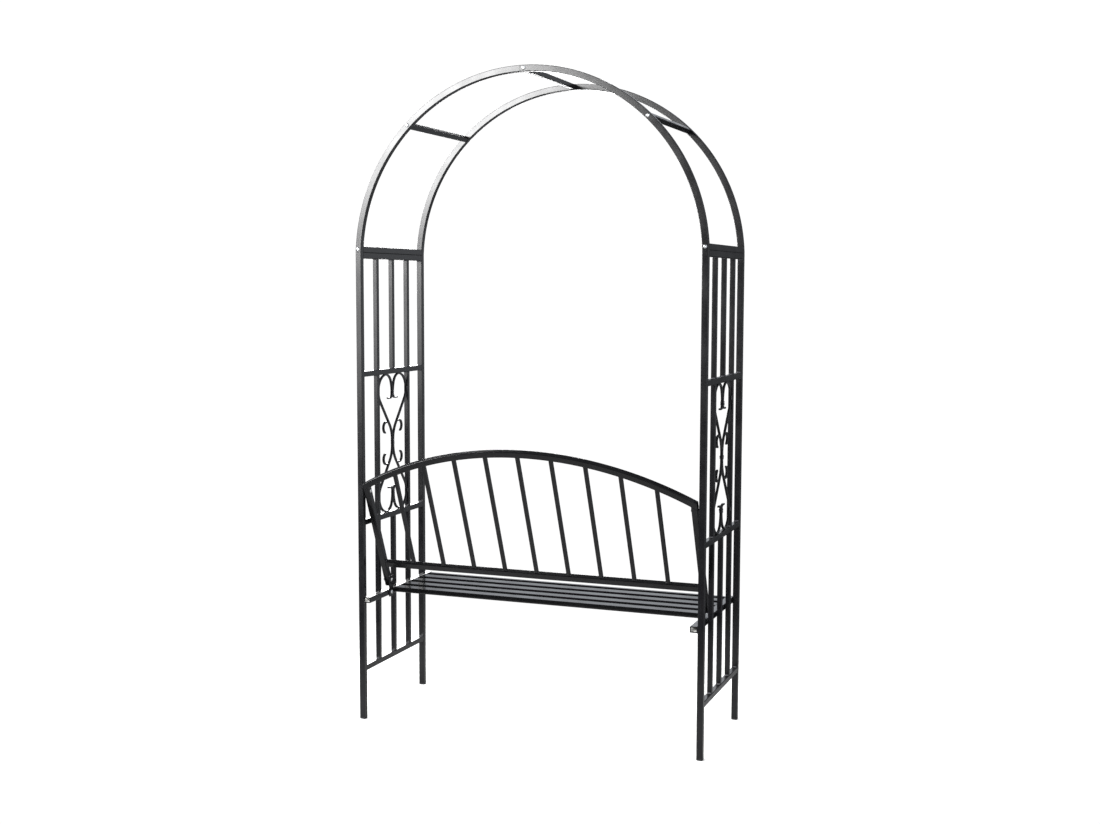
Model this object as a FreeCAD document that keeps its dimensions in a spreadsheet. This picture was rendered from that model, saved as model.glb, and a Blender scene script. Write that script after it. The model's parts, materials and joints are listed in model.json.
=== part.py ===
import FreeCAD, Part
import math
import os

import Sketcher
from FreeCAD import Placement, Rotation, Vector

# Arbour seat: a garden arch of square steel tube with a bench between its side panels.
# Millimetres. The sitter faces -Y, +Z is up, left is the sitter's left (+X).
# The origin lies on the ground in the middle of the whole object's box.

doc = FreeCAD.newDocument("arbour_seat")
sizes = doc.addObject("Spreadsheet::Sheet", "Sizes")
layout = doc.addObject("App::VarSet", "Layout")

SIZES = [
    ("overall_height", 2050, "ground to the top of the arch"),
    ("width_over_posts", 1140, "outside to outside"),
    ("depth_over_posts", 450, "outside to outside"),
    ("post_height", 1500, "ground to the foot of the arch"),
    ("post_size", 19, "square tube of posts, top rails and arches"),
    ("tube_wall", 1.2, "wall of every tube"),
    ("tube_corner", 1.6, "flat that breaks each long edge of the posts' tube"),
    ("rail_size", 18, "square tube of the panels' lower rails"),
    ("rail_corner", 1.3, "flat that breaks each long edge of the rails' tube"),
    ("upper_rail_height", 1116, "ground to the rail's centre line"),
    ("middle_rail_height", 641, "ground to the rail's centre line"),
    ("bottom_rail_height", 165.5, "ground to the rail's centre line"),
    ("bar_size", 15, "square tube of the panels' upright bars"),
    ("bar_corner", 1.1, "flat that breaks each long edge of the bars' tube"),
    ("bar_spaces", 4, "equal spaces between posts and bars"),
    ("foot_flange", 5, "plastic under each post"),
    ("foot_plug", 15, "plastic plug inside each post"),
    ("plug_gap", 0.3, "play of a plug or sleeve inside its tube, each side"),
    ("spigot_gap", 0.8, "play of a spigot inside its post, each side"),
    ("spigot_depth", 40, "spigot inside the post"),
    ("spigot_rise", 16, "spigot above the post"),
    ("joint_offset", 12, "arch joint line beside the top bolt"),
    ("sleeve_length", 70, "sleeve across the arch joint"),
    ("crossbar_size", 16, "square tube of the three upper crossbars"),
    ("end_plate", 3, "plate in each crossbar end"),
    ("bolt_diameter", 6, "all bolts"),
    ("bolt_sides", 12, "flats of a shank or a bolt hole, which keep its faces few"),
    ("bolt_head_diameter", 12, "domed head"),
    ("bolt_head_height", 3, "domed head"),
    ("bolt_tail", 1.5, "bolt beyond its nut"),
    ("arch_bolt_length", 25, "under the head"),
    ("back_bolt_length", 30, "under the head"),
    ("hole_gap", 0.3, "play round a bolt in a plain hole"),
    ("thread_gap", 0.05, "play round a bolt in a threaded hole"),
    ("nut_width", 10, "across flats"),
    ("nut_thickness", 5, "hexagon nut"),
    ("back_bolt_rise", 342.2, "seat's top to the bolts at the rear posts, which the back leans from"),
    ("back_bolt_drop", 21.2, "top rail's centre line to the bolt at each rear post, down the slope"),
    ("back_bottom_rise", 90.5, "seat's top to the bottom rail's centre line"),
    ("back_arch_radius", 1099, "centre line of the bent top rail"),
    ("back_tube_size", 19, "square tube of the back's frame"),
    ("back_slat_size", 11.5, "square tube of the back's slats"),
    ("back_slat_corner", 0.9, "flat that breaks each long edge of the slats' tube"),
    ("back_slat_count", 9, "slats"),
    ("back_slat_pitch", 107, "slat to slat"),
    ("spacer_diameter", 12, "ring between back and post"),
    ("seat_height", 402, "ground to the seat's top"),
    ("seat_rail_width", 23, "flat way"),
    ("seat_rail_depth", 19, "upright way"),
    ("seat_slat_width", 43, "front to back"),
    ("seat_slat_depth", 16, "flat oval tube"),
    ("seat_slat_corner", 5, "radius of the long edges"),
    ("seat_slat_pitch", 64, "slat to slat"),
    ("rear_slat_place", 35.5, "rearmost slat's centre behind the posts' middle"),
    ("front_tube_size", 16, "square tube at the seat's front"),
    ("front_tube_inset", 11, "behind the posts' front faces"),
    ("upright_gap", 10, "seat rail to the back upright's lower end"),
    ("plate_width", 28, "joining plate, front to back"),
    ("plate_thickness", 3.5, "joining plate"),
    ("plate_margin", 14, "bolt to the plate's end"),
    ("plate_bolt_rise", 31, "seat's top to the plate's upper bolt"),
    ("plate_bolt_inset", 24.4, "plate's bolts before the middle line of the panel's rear bar"),
    ("strip_thickness", 4, "scroll strip in its own plane"),
    ("strip_width", 5, "scroll strip across its plane"),
    ("strip_gap", 3, "between the two scroll strips of a panel"),
    ("scroll_straight", 9.6, "straight half length in the middle of the field"),
    ("waist_radius", 80, "bend above the straight"),
    ("lobe_radius", 52.65, "outer bend of the heart"),
    ("crown_radius", 38, "inner bend of the heart's top"),
    ("cheek_radius", 100, "long bend back to the middle"),
    ("tip_drop", 4, "straight before the tip's bend"),
    ("tip_radius", 14, "bend of the tip"),
    ("tip_length", 22.5, "straight end of the tip"),
    ("curl_rise", 10, "foot of the diagonal to the curl's weld"),
    ("curl_lead", 15, "straight of the curl"),
    ("curl_radius", 18, "bend of the curl"),
    ("curl_turn", 170, "degrees that the curl turns"),
]

for row, (name, number, note) in enumerate(SIZES, 1):
    sizes.set("A%d" % row, name)
    sizes.set("B%d" % row, str(number))
    sizes.set("C%d" % row, note)
    sizes.setAlias("B%d" % row, name)

# Places that follow from the sizes. Heights are above the ground, depths are from the middle of
# the four posts, and distances along the back are measured up its slope from its upper bolts.
LAYOUT = [
    ("post_x", "(Sizes.width_over_posts - Sizes.post_size) / 2"),
    ("post_y", "(Sizes.depth_over_posts - Sizes.post_size) / 2"),
    ("panel_gap", "Sizes.depth_over_posts - 2 * Sizes.post_size"),
    ("bar_pitch", "2 * Layout.post_y / Sizes.bar_spaces"),
    ("top_rail_height", "Sizes.post_height - Sizes.post_size / 2"),
    ("arch_rise", "Sizes.overall_height - Sizes.post_height - Sizes.post_size / 2"),
    ("arch_radius", "(Layout.post_x ^ 2 + Layout.arch_rise ^ 2) / (2 * Layout.arch_rise)"),
    ("arch_middle", "Sizes.post_height + Layout.arch_rise - Layout.arch_radius"),
    ("joint_angle", "asin(Sizes.joint_offset / Layout.arch_radius) / 1 deg"),
    ("base_angle", "asin((Sizes.post_height + Sizes.post_size / 2 - Layout.arch_middle)"
                   " / Layout.arch_radius) / 1 deg"),
    ("mid_angle", "(90 + Layout.base_angle) / 2"),
    ("back_gap", "Sizes.seat_rail_width - Sizes.back_tube_size"),
    ("upright_x", "Layout.post_x - Sizes.post_size / 2 - Layout.back_gap - Sizes.back_tube_size / 2"),
    ("back_inside", "Layout.upright_x - Sizes.back_tube_size / 2"),
    ("back_outside", "Layout.upright_x + Sizes.back_tube_size / 2"),
    ("back_arch_rise", "Sizes.back_arch_radius"
                       " - sqrt(Sizes.back_arch_radius ^ 2 - Layout.upright_x ^ 2)"),
    ("back_top", "Layout.back_arch_rise + Sizes.back_bolt_drop"),
    ("back_bolt_height", "Sizes.seat_height + Sizes.back_bolt_rise"),
    ("plate_bolt_height", "Sizes.seat_height + Sizes.plate_bolt_rise"),
    ("plate_bolt_y", "Layout.bar_pitch - Sizes.plate_bolt_inset"),
    ("back_lean", "atan((Layout.post_y - Layout.plate_bolt_y)"
                  " / (Layout.back_bolt_height - Layout.plate_bolt_height)) / 1 deg"),
    ("back_bottom", "(Sizes.back_bottom_rise - Sizes.back_bolt_rise) / cos(Layout.back_lean)"),
    ("back_arch_middle", "Layout.back_top - Sizes.back_arch_radius"),
    ("under_radius", "Sizes.back_arch_radius - Sizes.back_tube_size / 2"),
    ("upright_foot", "(Sizes.upright_gap - Sizes.back_bolt_rise) / cos(Layout.back_lean)"),
    ("seat_rail_x", "Layout.post_x - Sizes.post_size / 2 - Sizes.seat_rail_width / 2"),
    ("seat_rail_middle", "Sizes.seat_height - Sizes.seat_rail_depth / 2"),
    ("plate_middle", "(Layout.plate_bolt_height + Layout.seat_rail_middle) / 2"),
    ("plate_length", "Layout.plate_bolt_height - Layout.seat_rail_middle + 2 * Sizes.plate_margin"),
    ("field_middle", "(Sizes.upper_rail_height + Sizes.middle_rail_height) / 2"),
    ("field_half", "(Sizes.upper_rail_height - Sizes.middle_rail_height - Sizes.rail_size) / 2"),
    ("front_reach", "Sizes.depth_over_posts / 2 + Sizes.bolt_head_height"),
    ("rear_reach", "Layout.post_y + Sizes.back_tube_size / 2 * cos(Layout.back_lean)"
                   " + (Layout.back_top + Sizes.back_tube_size / 2 - Sizes.rail_corner)"
                   " * sin(Layout.back_lean)"),
    ("depth_middle", "(max(Layout.rear_reach; Layout.front_reach) - Layout.front_reach) / 2"),
]

doc.recompute()
for name, formula in LAYOUT:
    layout.addProperty("App::PropertyFloat", name, "Places")
    layout.setExpression(name, formula)
    doc.recompute()

HOLE = "(Sizes.bolt_diameter / 2 + Sizes.hole_gap) / cos(180 / Sizes.bolt_sides)"
THREAD = "(Sizes.bolt_diameter / 2 + Sizes.thread_gap) / cos(180 / Sizes.bolt_sides)"
LEFT_RIGHT = (("left", 1), ("right", -1))
FRONT_REAR = (("front", -1), ("rear", 1))
NEAR = 0.01
DOME_TURNS = [math.radians(turn) for turn in (0, 32, 64)]
parts = []


def value(formula):
    """The number that a formula of the sheet's and the layout's names gives."""
    return float(sizes.evalExpression(formula))


def origin_feature(body, role):
    return next(item for item in body.Origin.OriginFeatures if item.Role == role)


def new_body(label):
    body = doc.addObject("PartDesign::Body", "body_" + label)
    body.Label = label
    parts.append(body)
    return body


def place(thing, x, y, z, axis=None, angle=None):
    """Puts a piece at formulas for its place, turned about one axis."""
    if axis is not None:
        thing.Placement = Placement(Vector(), Rotation(axis, 1))
        thing.setExpression("Placement.Rotation.Angle", angle)
    thing.setExpression("Placement.Base.x", x)
    thing.setExpression("Placement.Base.y", "%s - Layout.depth_middle" % y)
    thing.setExpression("Placement.Base.z", z)


def place_on_back(thing, x, along):
    """Puts a piece in the back's sloping plane, at a distance up the slope."""
    place(thing, x, "Layout.post_y + (%s) * sin(Layout.back_lean)" % along,
          "Layout.back_bolt_height + (%s) * cos(Layout.back_lean)" % along,
          Vector(-1, 0, 0), "Layout.back_lean")


def attach(feature, body, plane, offset, turn=None):
    """Lays a sketch or a prism on a plane of its body, moved and turned within it by formulas."""
    feature.AttachmentSupport = [(origin_feature(body, plane), "")]
    feature.MapMode = "FlatFace"
    if turn is not None:
        feature.AttachmentOffset = Placement(Vector(), Rotation(Vector(0, 0, 1), 1))
        feature.setExpression("AttachmentOffset.Rotation.Angle", turn)
    for axis, formula in zip("xyz", offset):
        if formula != "0":
            feature.setExpression("AttachmentOffset.Base." + axis, formula)


def new_sketch(body, plane, offset=("0", "0", "0"), turn=None):
    sketch = body.newObject("Sketcher::SketchObject", body.Name + "_sketch")
    attach(sketch, body, plane, offset, turn)
    return sketch


def bind(sketch, kind, *where, name, formula):
    """Adds a measured constraint and ties it to a formula."""
    index = sketch.addConstraint(Sketcher.Constraint(kind, *where, value(formula)))
    sketch.renameConstraint(index, name)
    sketch.setExpression("Constraints." + name, formula)


def draw_rectangle(sketch, width, height, name):
    """A rectangle round the sketch's own origin."""
    x, y = value(width) / 2, value(height) / 2
    corners = [Vector(-x, -y, 0), Vector(x, -y, 0), Vector(x, y, 0), Vector(-x, y, 0)]
    first = sketch.GeometryCount
    for start, end in zip(corners, corners[1:] + corners[:1]):
        sketch.addGeometry(Part.LineSegment(start, end), False)
    for side in range(4):
        sketch.addConstraint(
            Sketcher.Constraint("Coincident", first + side, 2, first + (side + 1) % 4, 1))
    for side, kind in enumerate(("Horizontal", "Vertical", "Horizontal", "Vertical")):
        sketch.addConstraint(Sketcher.Constraint(kind, first + side))
    sketch.addConstraint(Sketcher.Constraint("Symmetric", first, 1, first + 1, 2, -1, 1))
    bind(sketch, "DistanceX", first, 1, first, 2, name=name + "_width", formula=width)
    bind(sketch, "DistanceY", first + 1, 1, first + 1, 2, name=name + "_height", formula=height)


def draw_circle(sketch, x, y, radius, name):
    """A circle round a point given from the sketch's own origin."""
    index = sketch.addGeometry(
        Part.Circle(Vector(value(x), value(y), 0), Vector(0, 0, 1), value(radius)), False)
    bind(sketch, "Radius", index, name=name + "_radius", formula=radius)
    bind(sketch, "DistanceX", -1, 1, index, 3, name=name + "_x", formula=x)
    bind(sketch, "DistanceY", -1, 1, index, 3, name=name + "_y", formula=y)


def draw_section(sketch, width, height, wall="Sizes.tube_wall"):
    """A tube's outer and inner outline."""
    draw_rectangle(sketch, width, height, "outer")
    draw_rectangle(sketch, "%s - 2 * %s" % (width, wall), "%s - 2 * %s" % (height, wall), "inner")


def extrude(body, kind, sketch, length, other_length=None, one_side=False):
    """A pad or a pocket: both ways from its sketch unless it is one-sided."""
    feature = body.newObject("PartDesign::" + kind, body.Name + "_" + kind.lower())
    feature.Profile = sketch
    feature.Type = "Length"
    if other_length is not None:
        feature.SideType = "Two sides"
        feature.setExpression("Length2", other_length)
    elif not one_side:
        feature.SideType = "Symmetric"
    feature.setExpression("Length", length)
    return feature


def dress_edges(body, feature, kind, size, wanted):
    """Chamfers or fillets the edges that a test picks."""
    doc.recompute()
    names = ["Edge%d" % number for number, edge in enumerate(feature.Shape.Edges, 1) if wanted(edge)]
    dressing = body.newObject("PartDesign::" + kind, body.Name + "_" + kind.lower())
    dressing.Base = (feature, names)
    dressing.setExpression("Radius" if kind == "Fillet" else "Size", size)
    return dressing


def long_edges(axis, width, height):
    """Picks the four outer edges along a straight tube whose middle is the body's origin line."""
    across = [number for number in range(3) if number != axis]
    halves = (value(width) / 2, value(height) / 2)

    def wanted(edge):
        middle = edge.CenterOfMass
        return all(abs(abs(middle[number]) - half) < NEAR for number, half in zip(across, halves))
    return wanted


def arc_edges(radius, size):
    """Picks the four outer edges along a tube bent about the body's Y axis."""
    half = value(size) / 2

    def wanted(edge):
        curve = edge.Curve
        return (isinstance(curve, Part.Circle) and abs(abs(curve.Center.y) - half) < NEAR
                and abs(abs(curve.Radius - value(radius)) - half) < NEAR)
    return wanted


PLANE_ACROSS = {0: "YZ_Plane", 1: "XZ_Plane", 2: "XY_Plane"}


def straight_tube(label, axis, width, height, length, corner, other_length=None, one_side=False,
                  flat_oval=False):
    """A tube along X (0), Y (1) or Z (2), its long edges broken by flats or, flat oval, rounded."""
    body = new_body(label)
    sketch = new_sketch(body, PLANE_ACROSS[axis])
    draw_section(sketch, width, height)
    pad = extrude(body, "Pad", sketch, length, other_length, one_side)
    outer = long_edges(axis, width, height)
    if flat_oval:
        inner = long_edges(axis, *("%s - 2 * Sizes.tube_wall" % across for across in (width, height)))
        pad = dress_edges(body, pad, "Fillet", "%s - Sizes.tube_wall" % corner, inner)
        dress_edges(body, pad, "Fillet", corner, outer)
    else:
        dress_edges(body, pad, "Chamfer", corner, outer)
    return body


def drill(body, plane, holes, length, start=None):
    """Bolt holes, each at two formulas in the plane and with one for its radius over the corners."""
    for x, y, radius in holes:
        hole = body.newObject("PartDesign::SubtractivePrism", body.Name + "_hole")
        attach(hole, body, plane, (x, y, start or "-(%s) / 2" % length))
        hole.setExpression("Polygon", "Sizes.bolt_sides")
        hole.setExpression("Circumradius", radius)
        hole.setExpression("Height", length)


def repeat(body, axis, span, count):
    """Repeats a body's pad and its dressed edges along one of its own axes."""
    pattern = body.newObject("PartDesign::LinearPattern", body.Name + "_pattern")
    pattern.Originals = [item for item in body.Group
                         if item.TypeId in ("PartDesign::Pad", "PartDesign::Chamfer")]
    pattern.Direction = (origin_feature(body, axis), [""])
    pattern.setExpression("Length", span)
    pattern.setExpression("Occurrences", count)
    body.Tip = pattern


def posts_and_feet():
    for side, sign in LEFT_RIGHT:
        for row, depth in FRONT_REAR:
            where = ("%d * Layout.post_x" % sign, "%d * Layout.post_y" % depth)
            post = straight_tube("post_%s_%s" % (row, side), 2, "Sizes.post_size", "Sizes.post_size",
                                 "Sizes.post_height - Sizes.foot_flange", "Sizes.tube_corner",
                                 one_side=True)
            place(post, *where, "Sizes.foot_flange")
            if row == "rear":
                drill(post, "YZ_Plane",
                      [("0", "Layout.back_bolt_height - Sizes.foot_flange", THREAD)],
                      "Sizes.post_size", "-Sizes.post_size" if side == "left" else "0")
            foot = new_body("foot_cap_%s_%s" % (row, side))
            flange = new_sketch(foot, "XY_Plane")
            draw_rectangle(flange, "Sizes.post_size", "Sizes.post_size", "flange")
            pad = extrude(foot, "Pad", flange, "Sizes.foot_flange", one_side=True)
            dress_edges(foot, pad, "Chamfer", "Sizes.tube_corner",
                        long_edges(2, "Sizes.post_size", "Sizes.post_size"))
            plug = new_sketch(foot, "XY_Plane")
            inside = "Sizes.post_size - 2 * (Sizes.tube_wall + Sizes.plug_gap)"
            draw_rectangle(plug, inside, inside, "plug")
            extrude(foot, "Pad", plug, "Sizes.foot_flange + Sizes.foot_plug", one_side=True)
            place(foot, *where, "0")


def panel_rails():
    rails = (
        ("top", "Layout.top_rail_height", "Sizes.post_size", "Sizes.tube_corner"),
        ("upper", "Sizes.upper_rail_height", "Sizes.rail_size", "Sizes.rail_corner"),
        ("middle", "Sizes.middle_rail_height", "Sizes.rail_size", "Sizes.rail_corner"),
        ("bottom", "Sizes.bottom_rail_height", "Sizes.rail_size", "Sizes.rail_corner"),
    )
    for side, sign in LEFT_RIGHT:
        for name, height, size, corner in rails:
            rail = straight_tube("panel_%s_rail_%s" % (name, side), 1, size, size,
                                 "Layout.panel_gap", corner)
            place(rail, "%d * Layout.post_x" % sign, "0", height)


def panel_bars():
    """Upright bars in three fields; the scroll field has only the two outer ones."""
    fields = (
        ("upper", "Sizes.upper_rail_height + Sizes.rail_size / 2",
         "Sizes.post_height - Sizes.post_size", "Sizes.bar_spaces - 1"),
        ("middle", "Sizes.middle_rail_height + Sizes.rail_size / 2",
         "Sizes.upper_rail_height - Sizes.rail_size / 2", "2"),
        ("lower", "Sizes.bottom_rail_height + Sizes.rail_size / 2",
         "Sizes.middle_rail_height - Sizes.rail_size / 2", "Sizes.bar_spaces - 1"),
    )
    span = "(Sizes.bar_spaces - 2) * Layout.bar_pitch"
    for side, sign in LEFT_RIGHT:
        for name, low, high, count in fields:
            bars = straight_tube("panel_%s_bars_%s" % (name, side), 2, "Sizes.bar_size",
                                 "Sizes.bar_size", "(%s) - (%s)" % (high, low), "Sizes.bar_corner",
                                 one_side=True)
            repeat(bars, "Y_Axis", span, count)
            place(bars, "%d * Layout.post_x" % sign, "-(%s) / 2" % span, low)


def follow(start, heading, moves, half, skew=0):
    """Both sides of a strip along tangent straights and bends.

    A move is (radius, amount): radius 0 is a straight of that length, a positive radius bends to
    the left by that many degrees and a negative one to the right. Skew slants the strip's start.
    """
    left, right = [], []
    point, angle = start, heading
    for radius, amount in moves:
        ahead = Vector(math.cos(math.radians(angle)), math.sin(math.radians(angle)), 0)
        normal = Vector(-ahead.y, ahead.x, 0)
        if radius == 0:
            end = point + ahead * amount
            slant = ahead * (half * skew)
            left.append((point + normal * half + slant, end + normal * half))
            right.append((point - normal * half - slant, end - normal * half))
        else:
            centre = point + normal * radius
            turn = math.copysign(amount, radius)
            arms = [Rotation(Vector(0, 0, 1), turn * share).multVec(point - centre)
                    for share in (0, 0.5, 1)]
            left.append(tuple(centre + arm * ((radius - half) / radius) for arm in arms))
            right.append(tuple(centre + arm * ((radius + half) / radius) for arm in arms))
            end = centre + arms[2]
            angle += turn
        point = end
        skew = 0
    return left, right


def draw_run(sketch, run, across, up):
    """Adds a chain of lines and arcs to a sketch, mirrored by signs across and up."""
    for points in run:
        spots = [Vector(across * spot.x, up * spot.y, 0) for spot in points]
        shape = Part.LineSegment(*spots) if len(spots) == 2 else Part.ArcOfCircle(*spots)
        sketch.addGeometry(shape, False)


def scroll_course():
    """Half a scroll strip, from the middle of its field up to the free tip.

    Returns its start, its moves, and the foot and heading of its straight diagonal. The outer
    bend touches the bar beside it and the upper rail, and the cheek comes back to the middle.
    """
    half = value("Sizes.strip_thickness / 2")
    inner = value("Sizes.strip_gap / 2") + half
    reach = value("Layout.bar_pitch - Sizes.bar_size / 2") - half
    top = value("Layout.field_half") - half
    lobe = value("Sizes.lobe_radius")
    cheek = value("Sizes.cheek_radius")
    straight = value("Sizes.scroll_straight")
    lobe_middle = Vector(reach - lobe, top - lobe, 0)
    side, rise = lobe_middle.x - inner, lobe_middle.y - straight
    tightest = (side ** 2 + rise ** 2 - lobe ** 2) / (2 * (lobe + side))
    waist = min(value("Sizes.waist_radius"), 0.9 * tightest)
    crown = min(value("Sizes.crown_radius"), 0.95 * side)
    waist_middle = Vector(inner + waist, straight, 0)
    between = lobe_middle - waist_middle
    heading = math.degrees(math.atan2(between.y, between.x)
                           - math.asin((waist + lobe) / between.Length))
    foot = waist_middle + Vector(-math.sin(math.radians(heading)),
                                 math.cos(math.radians(heading)), 0) * waist
    head = lobe_middle + Vector(math.sin(math.radians(heading)),
                                -math.cos(math.radians(heading)), 0) * lobe
    cheek_turn = math.degrees(math.acos((inner + cheek - lobe_middle.x) / (cheek - crown)))
    moves = [
        (0, straight),
        (-waist, 90 - heading),
        (0, (head - foot).Length),
        (lobe, 180 - heading),
        (crown, 90 - cheek_turn),
        (cheek, cheek_turn),
        (0, value("Sizes.tip_drop")),
        (value("Sizes.tip_radius"), 90),
        (0, value("Sizes.tip_length")),
    ]
    return Vector(inner, 0, 0), moves, foot, heading


def scrolls():
    half = value("Sizes.strip_thickness / 2")
    start, moves, foot, heading = scroll_course()
    left, right = follow(start, 90, moves, half)
    tip = (left[-1][-1], right[-1][-1])
    slope = math.radians(heading)
    curl_start = foot + Vector(value("Sizes.curl_rise") / math.tan(slope) + half / math.sin(slope),
                               value("Sizes.curl_rise"), 0)
    curl_moves = [(0, value("Sizes.curl_lead")),
                  (-value("Sizes.curl_radius"), value("Sizes.curl_turn"))]
    curl_left, curl_right = follow(curl_start, 0, curl_moves, half, 1 / math.tan(slope))
    curl_ends = [(curl_left[0][0], curl_right[0][0]), (curl_left[-1][-1], curl_right[-1][-1])]
    for side, sign in LEFT_RIGHT:
        where = ("%d * Layout.post_x" % sign, "0", "Layout.field_middle")
        for row, across in FRONT_REAR:
            strip = new_body("scroll_strip_%s_%s" % (row, side))
            sketch = new_sketch(strip, "YZ_Plane")
            for up in (1, -1):
                draw_run(sketch, left + right + [tip], across, up)
            extrude(strip, "Pad", sketch, "Sizes.strip_width")
            place(strip, *where)
        curls = new_body("scroll_curls_%s" % side)
        sketch = new_sketch(curls, "YZ_Plane")
        for across in (1, -1):
            for up in (1, -1):
                draw_run(sketch, curl_left + curl_right + curl_ends, across, up)
        extrude(curls, "Pad", sketch, "Sizes.strip_width")
        place(curls, *where)


def arch_tubes():
    """Four bent tubes; the two of each arch meet on a radial line just left of the top bolt."""
    below = "30"
    for side, sign in LEFT_RIGHT:
        for row, depth in FRONT_REAR:
            tube = new_body("arch_tube_%s_%s" % (row, side))
            sketch = new_sketch(tube, "XY_Plane", ("%d * Layout.arch_radius" % sign, "0", "0"))
            draw_section(sketch, "Sizes.post_size", "Sizes.post_size")
            bend = tube.newObject("PartDesign::Revolution", tube.Name + "_bend")
            bend.Profile = sketch
            bend.ReferenceAxis = (origin_feature(tube, "Y_Axis"), [""])
            bend.Type = "TwoAngles"
            bend.Reversed = sign > 0
            bend.setExpression("Angle", "90 - %d * Layout.joint_angle" % sign)
            bend.setExpression("Angle2", below)
            dress_edges(tube, bend, "Chamfer", "Sizes.tube_corner",
                        arc_edges("Layout.arch_radius", "Sizes.post_size"))
            trim = new_sketch(tube, "XY_Plane",
                              ("0", "0", "Sizes.post_height - Layout.arch_middle"))
            draw_rectangle(trim, "4 * Layout.arch_radius", "4 * Sizes.post_size", "trim")
            extrude(tube, "Pocket", trim, "2 * Layout.arch_radius", one_side=True)
            angles = ["Layout.base_angle", "Layout.mid_angle"] + (["90"] if side == "right" else [])
            drill(tube, "XZ_Plane",
                  [("%d * Layout.arch_radius * cos(%s)" % (sign, angle),
                    "Layout.arch_radius * sin(%s)" % angle, HOLE) for angle in angles],
                  "2 * Sizes.post_size")
            place(tube, "0", "%d * Layout.post_y" % depth, "Layout.arch_middle")


def crossbars():
    """Five tubes between the arches, with end plates that the bolts screw into."""
    bars = [("crossbar_top", 1, "90", "Sizes.crossbar_size", "Sizes.rail_corner", True)]
    for side, sign in LEFT_RIGHT:
        bars.append(("crossbar_mid_" + side, sign, "Layout.mid_angle", "Sizes.crossbar_size",
                     "Sizes.rail_corner", True))
        bars.append(("crossbar_base_" + side, sign, "Layout.base_angle", "Sizes.post_size",
                     "Sizes.tube_corner", False))
    for label, sign, angle, size, corner, radial in bars:
        bar = new_body(label)
        outer = new_sketch(bar, "XZ_Plane")
        draw_rectangle(outer, size, size, "outer")
        pad = extrude(bar, "Pad", outer, "Layout.panel_gap")
        dress_edges(bar, pad, "Chamfer", corner, long_edges(1, size, size))
        drill(bar, "XZ_Plane", [("0", "0", THREAD)], "Layout.panel_gap")
        cavity = new_sketch(bar, "XZ_Plane")
        inside = "%s - 2 * Sizes.tube_wall" % size
        draw_rectangle(cavity, inside, inside, "cavity")
        extrude(bar, "Pocket", cavity, "Layout.panel_gap - 2 * Sizes.end_plate")
        turn = "%d * (90 - %s)" % (sign, angle) if radial else "0"
        place(bar, "%d * Layout.arch_radius * cos(%s)" % (sign, angle), "0",
              "Layout.arch_middle + Layout.arch_radius * sin(%s)" % angle, Vector(0, 1, 0), turn)


def cut_above_back_arch(body, x):
    """Copes a piece of the back to the underside of the bent top rail."""
    sketch = new_sketch(body, "XZ_Plane", ("-(%s)" % x, "Layout.back_arch_middle", "0"))
    draw_rectangle(sketch, "4 * Sizes.back_arch_radius", "4 * Sizes.back_arch_radius", "far")
    draw_circle(sketch, "0", "0", "Layout.under_radius", "under")
    return extrude(body, "Pocket", sketch, "4 * Sizes.back_tube_size")


def back_frame():
    size = "Sizes.back_tube_size"
    top = new_body("back_top_rail")
    sketch = new_sketch(top, "YZ_Plane", ("0", "Sizes.back_arch_radius", "0"))
    draw_section(sketch, size, size)
    bend = top.newObject("PartDesign::Revolution", top.Name + "_bend")
    bend.Profile = sketch
    bend.ReferenceAxis = (origin_feature(top, "Y_Axis"), [""])
    bend.Midplane = True
    bend.setExpression(
        "Angle", "2 * asin((Layout.back_outside + Sizes.back_tube_size) / Sizes.back_arch_radius)")
    dress_edges(top, bend, "Chamfer", "Sizes.rail_corner", arc_edges("Sizes.back_arch_radius", size))
    ends = new_sketch(top, "XZ_Plane")
    draw_rectangle(ends, "4 * Sizes.back_arch_radius", "4 * Sizes.back_arch_radius", "far")
    draw_rectangle(ends, "2 * Layout.back_outside", "3 * Sizes.back_arch_radius", "keep")
    extrude(top, "Pocket", ends, "4 * Sizes.back_tube_size")
    place_on_back(top, "0", "Layout.back_arch_middle")

    bottom = straight_tube("back_bottom_rail", 0, size, size, "2 * Layout.back_inside",
                           "Sizes.rail_corner")
    place_on_back(bottom, "0", "Layout.back_bottom")

    for side, sign in LEFT_RIGHT:
        x = "%d * Layout.upright_x" % sign
        upright = straight_tube("back_upright_" + side, 2, size, size, "Layout.back_top",
                                "Sizes.rail_corner", other_length="%s - Layout.upright_foot" % size)
        cut_above_back_arch(upright, x)
        block = "2 * Sizes.back_tube_size"
        foot = new_sketch(upright, "YZ_Plane",
                          ("%s * sin(Layout.back_lean)" % block,
                           "Layout.upright_foot - %s * cos(Layout.back_lean)" % block, "0"),
                          "Layout.back_lean")
        draw_rectangle(foot, "2 * " + block, "2 * " + block, "foot")
        extrude(upright, "Pocket", foot, "2 * Sizes.back_tube_size")
        lower = "(Layout.plate_bolt_height - Layout.back_bolt_height) / cos(Layout.back_lean)"
        drill(upright, "YZ_Plane", [("0", "0", HOLE), ("0", lower, HOLE)],
              "2 * Sizes.back_tube_size")
        place_on_back(upright, x, "0")

    slats = straight_tube("back_slats", 2, "Sizes.back_slat_size", "Sizes.back_slat_size",
                          "Layout.back_top", "Sizes.back_slat_corner",
                          other_length="-Layout.back_bottom - Sizes.back_tube_size / 2")
    span = "(Sizes.back_slat_count - 1) * Sizes.back_slat_pitch"
    repeat(slats, "X_Axis", span, "Sizes.back_slat_count")
    slats.Tip = cut_above_back_arch(slats, "-(%s) / 2" % span)
    place_on_back(slats, "-(%s) / 2" % span, "0")


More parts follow.
